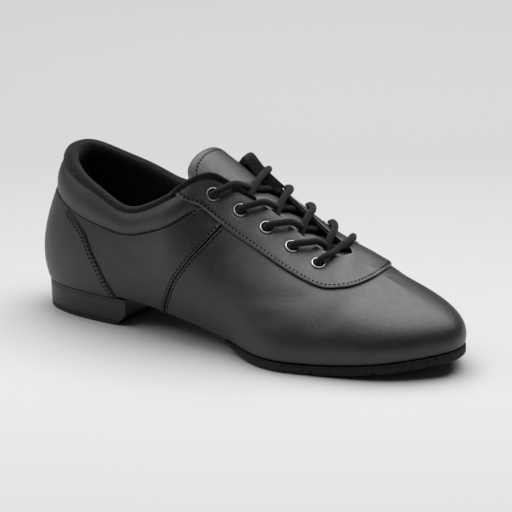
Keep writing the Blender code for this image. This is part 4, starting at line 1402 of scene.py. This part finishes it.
def tongue_stitch_line():
    """The line that lies one turned edge inside the tongue's rim, from side to side over its top."""
    edge = distance_to(tongue_rim, tongue_points)
    middle = (tongue_points.shape[1] - 1) / 2
    reach = np.linspace(0.0, 1.5, 600)
    line = []
    for angle in np.radians(np.linspace(-88.0, 88.0, 160)):
        row = STITCHES_FROM_ROW * (1.0 - reach * math.cos(angle))
        column = middle * (1.0 + reach * math.sin(angle))
        inside = (row >= 0) & (column >= 0) & (column <= 2 * middle)
        row, column = row[inside], column[inside]
        last = np.nonzero(read_between(edge, row, column)[:, 0] > TURNED_EDGE)[0][-1:]
        line.append([read_between(grid, row[last], column[last])[0]
                     for grid in (tongue_points, tongue_normals)])
    points, normals = np.array(line).transpose(1, 0, 2)
    return points, unit(normals)


stitch_rows("tongue_thread", [lifted(tongue_stitch_line(), 0.00008)], THREAD, "tongue")

# %% [markdown]
# ## The collar's felt
# Soft dark felt lines the collar. It is padded inside, rolls a little over the leather's edge, and
# runs on as a thin bead to the top corner of each facing.

# %% Collar felt
LINING_ROOM = 0.0007
FELT_END = 9.2  # place where its bead dies out on the facing
FELT_WRAP, FELT_WRAP_BACK = 0.0015, 0.0048  # how far it comes down outside the leather's edge


def felt_rings():
    """Rings of points round the felt's padding, one at each place along the collar."""
    u = np.linspace(-FELT_END, FELT_END, 300)
    place = np.abs(u)
    full = smooth_step((COLLAR_END - 0.4 - place) / 3.0)
    last_part = smooth_step((FELT_END - place) / 0.9)
    pad = PAD_THICKNESS * (0.22 + 0.78 * full)
    depth = PAD_DEPTH * (0.12 + 0.88 * full)
    roll = ROLL_HEIGHT * (0.75 + 0.25 * full) * (0.3 + 0.7 * last_part)
    wrap = FELT_WRAP + (FELT_WRAP_BACK - FELT_WRAP) * smooth_step((3.2 - place) / 2.4)
    wrap = wrap * (0.2 + 0.8 * last_part)
    out = 0.0002 + STAY_LIFT * smooth_step((place - 5.7) / 0.5)
    wall = WALL + LINING_ROOM
    top = surface(u, 1.0)[0]
    normal = surface(u, 0.985)[1]
    rise = unit(np.cross(normal, surface(u + 0.02, 1.0)[0] - surface(u - 0.02, 1.0)[0]))
    length = section_length(u)
    lowest = 1.0 - depth / length

    def inside(share, lift):
        return surface(u, np.maximum(share, lowest), lift)[0]

    def outside(down, lift):
        return surface(u, 1.0 - down / length, lift)[0]

    def above(up, lift):
        return top + rise * (up + 0 * u)[:, None] + normal * (lift + 0 * u)[:, None]

    ring = [inside(share, -wall) for share in (0.0, 0.735, 0.82, 0.90, 1.0)]
    ring += [above(LINING_ROOM, -wall), above(LINING_ROOM, -0.4 * wall), above(0.0003, out),
             outside(0.6 * wrap, out), outside(wrap, out), outside(wrap + 0.0003, out + 0.0007),
             outside(0.75 * wrap, out + 0.0014), outside(0.3 * wrap, out + 0.0017),
             above(0.5 * roll, out + 0.0012), above(0.95 * roll, -0.2 * wall), above(roll, -0.7 * wall),
             above(0.8 * roll, -wall - 0.4 * pad), inside(0.97, -wall - pad),
             inside(0.86, -wall - 0.85 * pad), inside(0.0, -wall - 0.3 * pad)]
    return np.stack(ring, axis=1)


def make_felt():
    """Make the collar's padded felt."""
    rings = felt_rings()
    count = rings.shape[1]
    around_it = np.arange(count * 4 + 1) / 4
    points = np.stack([closed_spline(ring, around_it) for ring in rings])
    bm = grid_sheet(points)
    bmesh.ops.remove_doubles(bm, verts=bm.verts, dist=2e-6)
    close_up(bm)
    felt = finish("felt_collar", bm, COLLAR_FELT, ["collar_lining"], sharp=180.0)
    return felt


print("felt", len(make_felt().data.polygons))

# %% [markdown]
# ## The forefoot sole
# A rubber sole under the front half only, thin where it starts in the waist and sprung up at the
# toe. Its side shows a fine line near the top, and two flex grooves cross its underside.

# %% Outsole
SOLE_PROFILE = [  # in from the edge, and how far down from the top: metres, then a share of the thickness
    (0.0006, 0.00), (0.0002, 0.01), (0.0, 0.05), (0.0, 0.13), (0.0003, 0.17), (0.0003, 0.20), (0.0, 0.24),
    (-0.0001, 0.40), (-0.0001, 0.60), (0.0, 0.80), (0.0003, 0.91), (0.0008, 0.98), (0.0016, 1.00),
]


def sole_low(x):
    """Height of the sole's underside."""
    share = x / LENGTH + HEEL_REST_CENTRE
    start = STATIONS[9].along
    growth = smooth_step((share - start + 0.05) / (ARCH_TO - start + 0.05))
    flat = bottom(x, 0 * x) - JOINT_GAP
    return flat - SOLE_REAR_THICKNESS - (SOLE_THICKNESS - SOLE_REAR_THICKNESS) * growth


def plate(u, spine, profile, outset, top, low, low_inset=0.0):
    """Make a plate below the foot line, whose side follows a profile."""
    inward = -outward(u)
    edge = foot_line(u) - inward * outset
    reach = [0.0, 0.15, 0.32, 0.5, 0.7, 0.85]
    rows = []
    for share in reach:
        point = spine + (edge + inward * 0.0008 - spine) * share
        point[:, 2] = top(point[:, 0], point[:, 1])
        rows.append(point)
    for inset, down in profile:
        point = edge + inward * (inset + low_inset * down)
        high = top(point[:, 0], point[:, 1])
        point[:, 2] = high + (low(point[:, 0]) - high) * down
        rows.append(point)
    for share in reach[::-1]:
        point = spine + (edge + inward * (0.0030 + low_inset) - spine) * share
        point[:, 2] = low(point[:, 0])
        rows.append(point)
    bm = grid_sheet(np.stack(rows, axis=1))
    bmesh.ops.remove_doubles(bm, verts=bm.verts, dist=2e-6)
    bmesh.ops.dissolve_degenerate(bm, edges=bm.edges, dist=1e-6)
    close_up(bm)
    return bm


def cut_grooves(piece):
    """Cut the two flex grooves across the sole's underside, and keep the result as its mesh."""
    cutters = []
    for share in GROOVES:
        x = (share - HEEL_REST_CENTRE) * LENGTH
        rise = sole_low(np.array([x - 0.002, x + 0.002]))
        groove = bmesh.new()
        bmesh.ops.create_cube(groove, size=1.0)
        upper_edges = [edge for edge in groove.edges if edge.verts[0].co.z > 0
                       and abs(edge.verts[0].co.y - edge.verts[1].co.y) > 0.5]
        bmesh.ops.bevel(groove, geom=upper_edges, affect="EDGES", offset=0.3, segments=4,
                        profile=0.5, material=-1)
        bmesh.ops.scale(groove, vec=(GROOVE_WIDTH, 1.5 * BALL_WIDTH, 2 * GROOVE_DEPTH), verts=groove.verts)
        tilt = -math.atan2(rise[1] - rise[0], 0.004)
        bmesh.ops.rotate(groove, cent=(0, 0, 0), matrix=Matrix.Rotation(tilt, 3, "Y"), verts=groove.verts)
        bmesh.ops.translate(groove, vec=(x, 0, rise.mean()), verts=groove.verts)
        cutter = new_object("groove", mesh_from("groove", groove))
        cutters.append(cutter)
        cut = piece.modifiers.new("groove", "BOOLEAN")
        cut.operation = "DIFFERENCE"
        cut.solver = "EXACT"
        cut.object = cutter
    ready = piece.evaluated_get(bpy.context.evaluated_depsgraph_get())
    whole = bpy.data.meshes.new_from_object(ready)
    piece.modifiers.clear()
    piece.data = whole
    for cutter in cutters:
        bpy.data.objects.remove(cutter, do_unlink=True)
    return piece


def make_outsole():
    """Make the forefoot sole."""
    u = np.linspace(SOLE_FROM, LOOP - SOLE_FROM, 420)
    place = np.minimum(u, LOOP - u)
    spine = spine_line(u)
    spine[:, 0] -= SOLE_REAR_ARC * smooth_step(1.0 - (place - SOLE_FROM) / 2.0)
    bm = plate(u, spine, SOLE_PROFILE, SOLE_EDGE, lambda x, y: bottom(x, y) - JOINT_GAP, sole_low)
    sole = finish("forefoot_sole", bm, SOLE_RUBBER, ["outsole"], sharp=35.0)
    return cut_grooves(sole)


print("outsole", len(make_outsole().data.polygons))

# %% [markdown]
# ## The heel
# A low stacked block under the heel seat, tapered a little, with its front lower corner cut off
# and a thin rubber tip below. One block is cut by planes into both.

# %% Heel and heel tip
HEEL_PROFILE = [(0.0007, 0.0), (0.0002, 0.012), (0.0, 0.035), (0.0, 0.11), (0.00035, 0.13), (0.0, 0.15),
                (0.0, 0.35), (0.0, 0.6), (0.0, 0.8), (0.0, 1.0)]


def slice_off(bm, point, normal):
    """Cut away all that lies past a plane, and close the cut."""
    everything = bm.verts[:] + bm.edges[:] + bm.faces[:]
    bmesh.ops.bisect_plane(bm, geom=everything, plane_co=point, plane_no=normal,
                           clear_outer=True, dist=1e-7)
    close_up(bm)


def heel_block():
    """Make the whole heel, from the seat down to the floor."""
    u = np.linspace(-4.5, 4.5, 240)
    block = plate(u, spine_line(u), HEEL_PROFILE, SOLE_EDGE, lambda x, y: bottom(x, y) - JOINT_GAP,
                  lambda x: 0 * x, HEEL_TAPER)
    breast = (BREAST - HEEL_REST_CENTRE) * LENGTH
    slice_off(block, (breast, 0, 0), (1, 0, 0))
    slice_off(block, (breast, 0, BREAST_CHAMFER), (1, 0, -1))
    return block


def softened(piece, width):
    """Round a piece's hard edges."""
    soften = piece.modifiers.new("soft edge", "BEVEL")
    soften.width = width
    soften.segments = 3
    soften.limit_method = "ANGLE"
    soften.angle_limit = math.radians(38.0)
    soften.harden_normals = False
    return piece


def make_heel():
    """Make the heel block and its rubber tip."""
    block = heel_block()
    slice_off(block, (0, 0, HEEL_TIP + JOINT_GAP), (0, 0, -1))
    heel = finish("heel_stack", block, HEEL_RUBBER, ["heel"], sharp=35.0)
    block = heel_block()
    slice_off(block, (0, 0, HEEL_TIP), (0, 0, 1))
    tip = finish("heel_lift", block, TIP_RUBBER, ["heel_tip"], sharp=35.0)
    return softened(heel, 0.0004), softened(tip, 0.0003)


print("heel", [len(piece.data.polygons) for piece in make_heel()])

# %% [markdown]
# ## The insole and its label
# The insole's solid is already right, so it only gets its cloth. A small blank patch of smoother
# cloth lies on it at the heel.

# %% Insole
insole = bpy.data.objects["insole"]
insole.data.materials.clear()
insole.data.materials.append(INSOLE_CLOTH)
INSOLE_TOP = WALL + 2 * JOINT_GAP + 0.0025
LABEL_LENGTH = 0.046
LABEL_WIDTH = 0.030


def make_label():
    """Make the blank patch on the insole's heel."""
    bm = bmesh.new()
    bmesh.ops.create_grid(bm, x_segments=24, y_segments=16, size=0.5)
    bmesh.ops.scale(bm, vec=(LABEL_LENGTH, LABEL_WIDTH, 1.0), verts=bm.verts)
    for vert in bm.verts:
        along, side = vert.co.x / (LABEL_LENGTH / 2), vert.co.y / (LABEL_WIDTH / 2)
        vert.co.y *= 1.0 - 0.25 * along**4
        vert.co.x = vert.co.x * (1.0 - 0.12 * side**2) + 0.004
        vert.co.z = float(bottom(np.array(vert.co.x), np.array(vert.co.y))) + INSOLE_TOP + 0.0005
    return add_wall(finish("insole_label", bm, LABEL_CLOTH), 0.0004)


print("label", len(make_label().data.polygons))

# %% [markdown]
# ## Floor and light
# The shoe stands on a pale sheet of paper under a large soft light from above. The floor's colour, read
# from its own coordinates, darkens a little towards the back: painted shade for the light falling off. An
# area light far wider than the shoe hangs behind and above it, and two weaker ones fill in from the front
# and the left.

# %% Floor


def make_floor():
    """Lay a wide pale floor whose colour greys slowly towards the back: painted shade for the light's
    fall-off.
    """
    bm = bmesh.new()
    bmesh.ops.create_grid(bm, x_segments=2, y_segments=2, size=12.0)
    floor = new_object("floor", mesh_from("floor", bm))
    material, tree, shader = new_material("pale floor with painted falloff", (0.8, 0.8, 0.8), 0.9)
    turn = add_node(tree, "Mapping", {
        "Vector": own_place(tree), "Rotation": (0.0, 0.0, -math.radians(AZIMUTH))})
    parts = add_node(tree, "SeparateXYZ", {"Vector": turn.outputs["Vector"]})
    away = ranged(tree, parts.outputs["Y"], 0.0, 1.0, -0.12, 0.32)
    # Paler near the shoe and darker towards the back: painted shade for the light falling off.
    paper = shaded(tree, away, (0.615, 0.615, 0.615), (0.450, 0.450, 0.456), 0.0, 1.0)
    set_inputs(tree, shader, {"Specular IOR Level": 0.2, "Base Color": paper})
    floor.data.materials.append(material)
    return floor


print("floor", make_floor().name)

# %% Lights


def soft_box(name, place, size, power, target=(0.1, 0.0, 0.03)):
    """Hang a large area light that faces the shoe."""
    light = bpy.data.lights.new(name, "AREA")
    light.shape = "RECTANGLE"
    light.size, light.size_y = size
    light.energy = power
    lamp = new_object(name, light)
    lamp.location = place
    lamp.rotation_euler = (Vector(place) - Vector(target)).to_track_quat("Z", "Y").to_euler()
    return lamp


world = bpy.data.worlds.new("studio")
world.use_nodes = True
world.node_tree.nodes["Background"].inputs["Color"].default_value = (1.0, 1.0, 1.0, 1.0)
world.node_tree.nodes["Background"].inputs["Strength"].default_value = 0.05
bpy.context.scene.world = world
soft_box("overhead", (0.0, 0.55, 1.45), (2.1, 1.9), 47.0, (0.1, 0.05, 0.0))
soft_box("front top", (-0.5, -0.9, 1.5), (1.4, 0.9), 5.0)
soft_box("left screen", (-1.4, -0.6, 0.9), (1.5, 1.2), 5.5)
bpy.context.scene.view_settings.view_transform = "Standard"
print("lights", len(bpy.data.lights))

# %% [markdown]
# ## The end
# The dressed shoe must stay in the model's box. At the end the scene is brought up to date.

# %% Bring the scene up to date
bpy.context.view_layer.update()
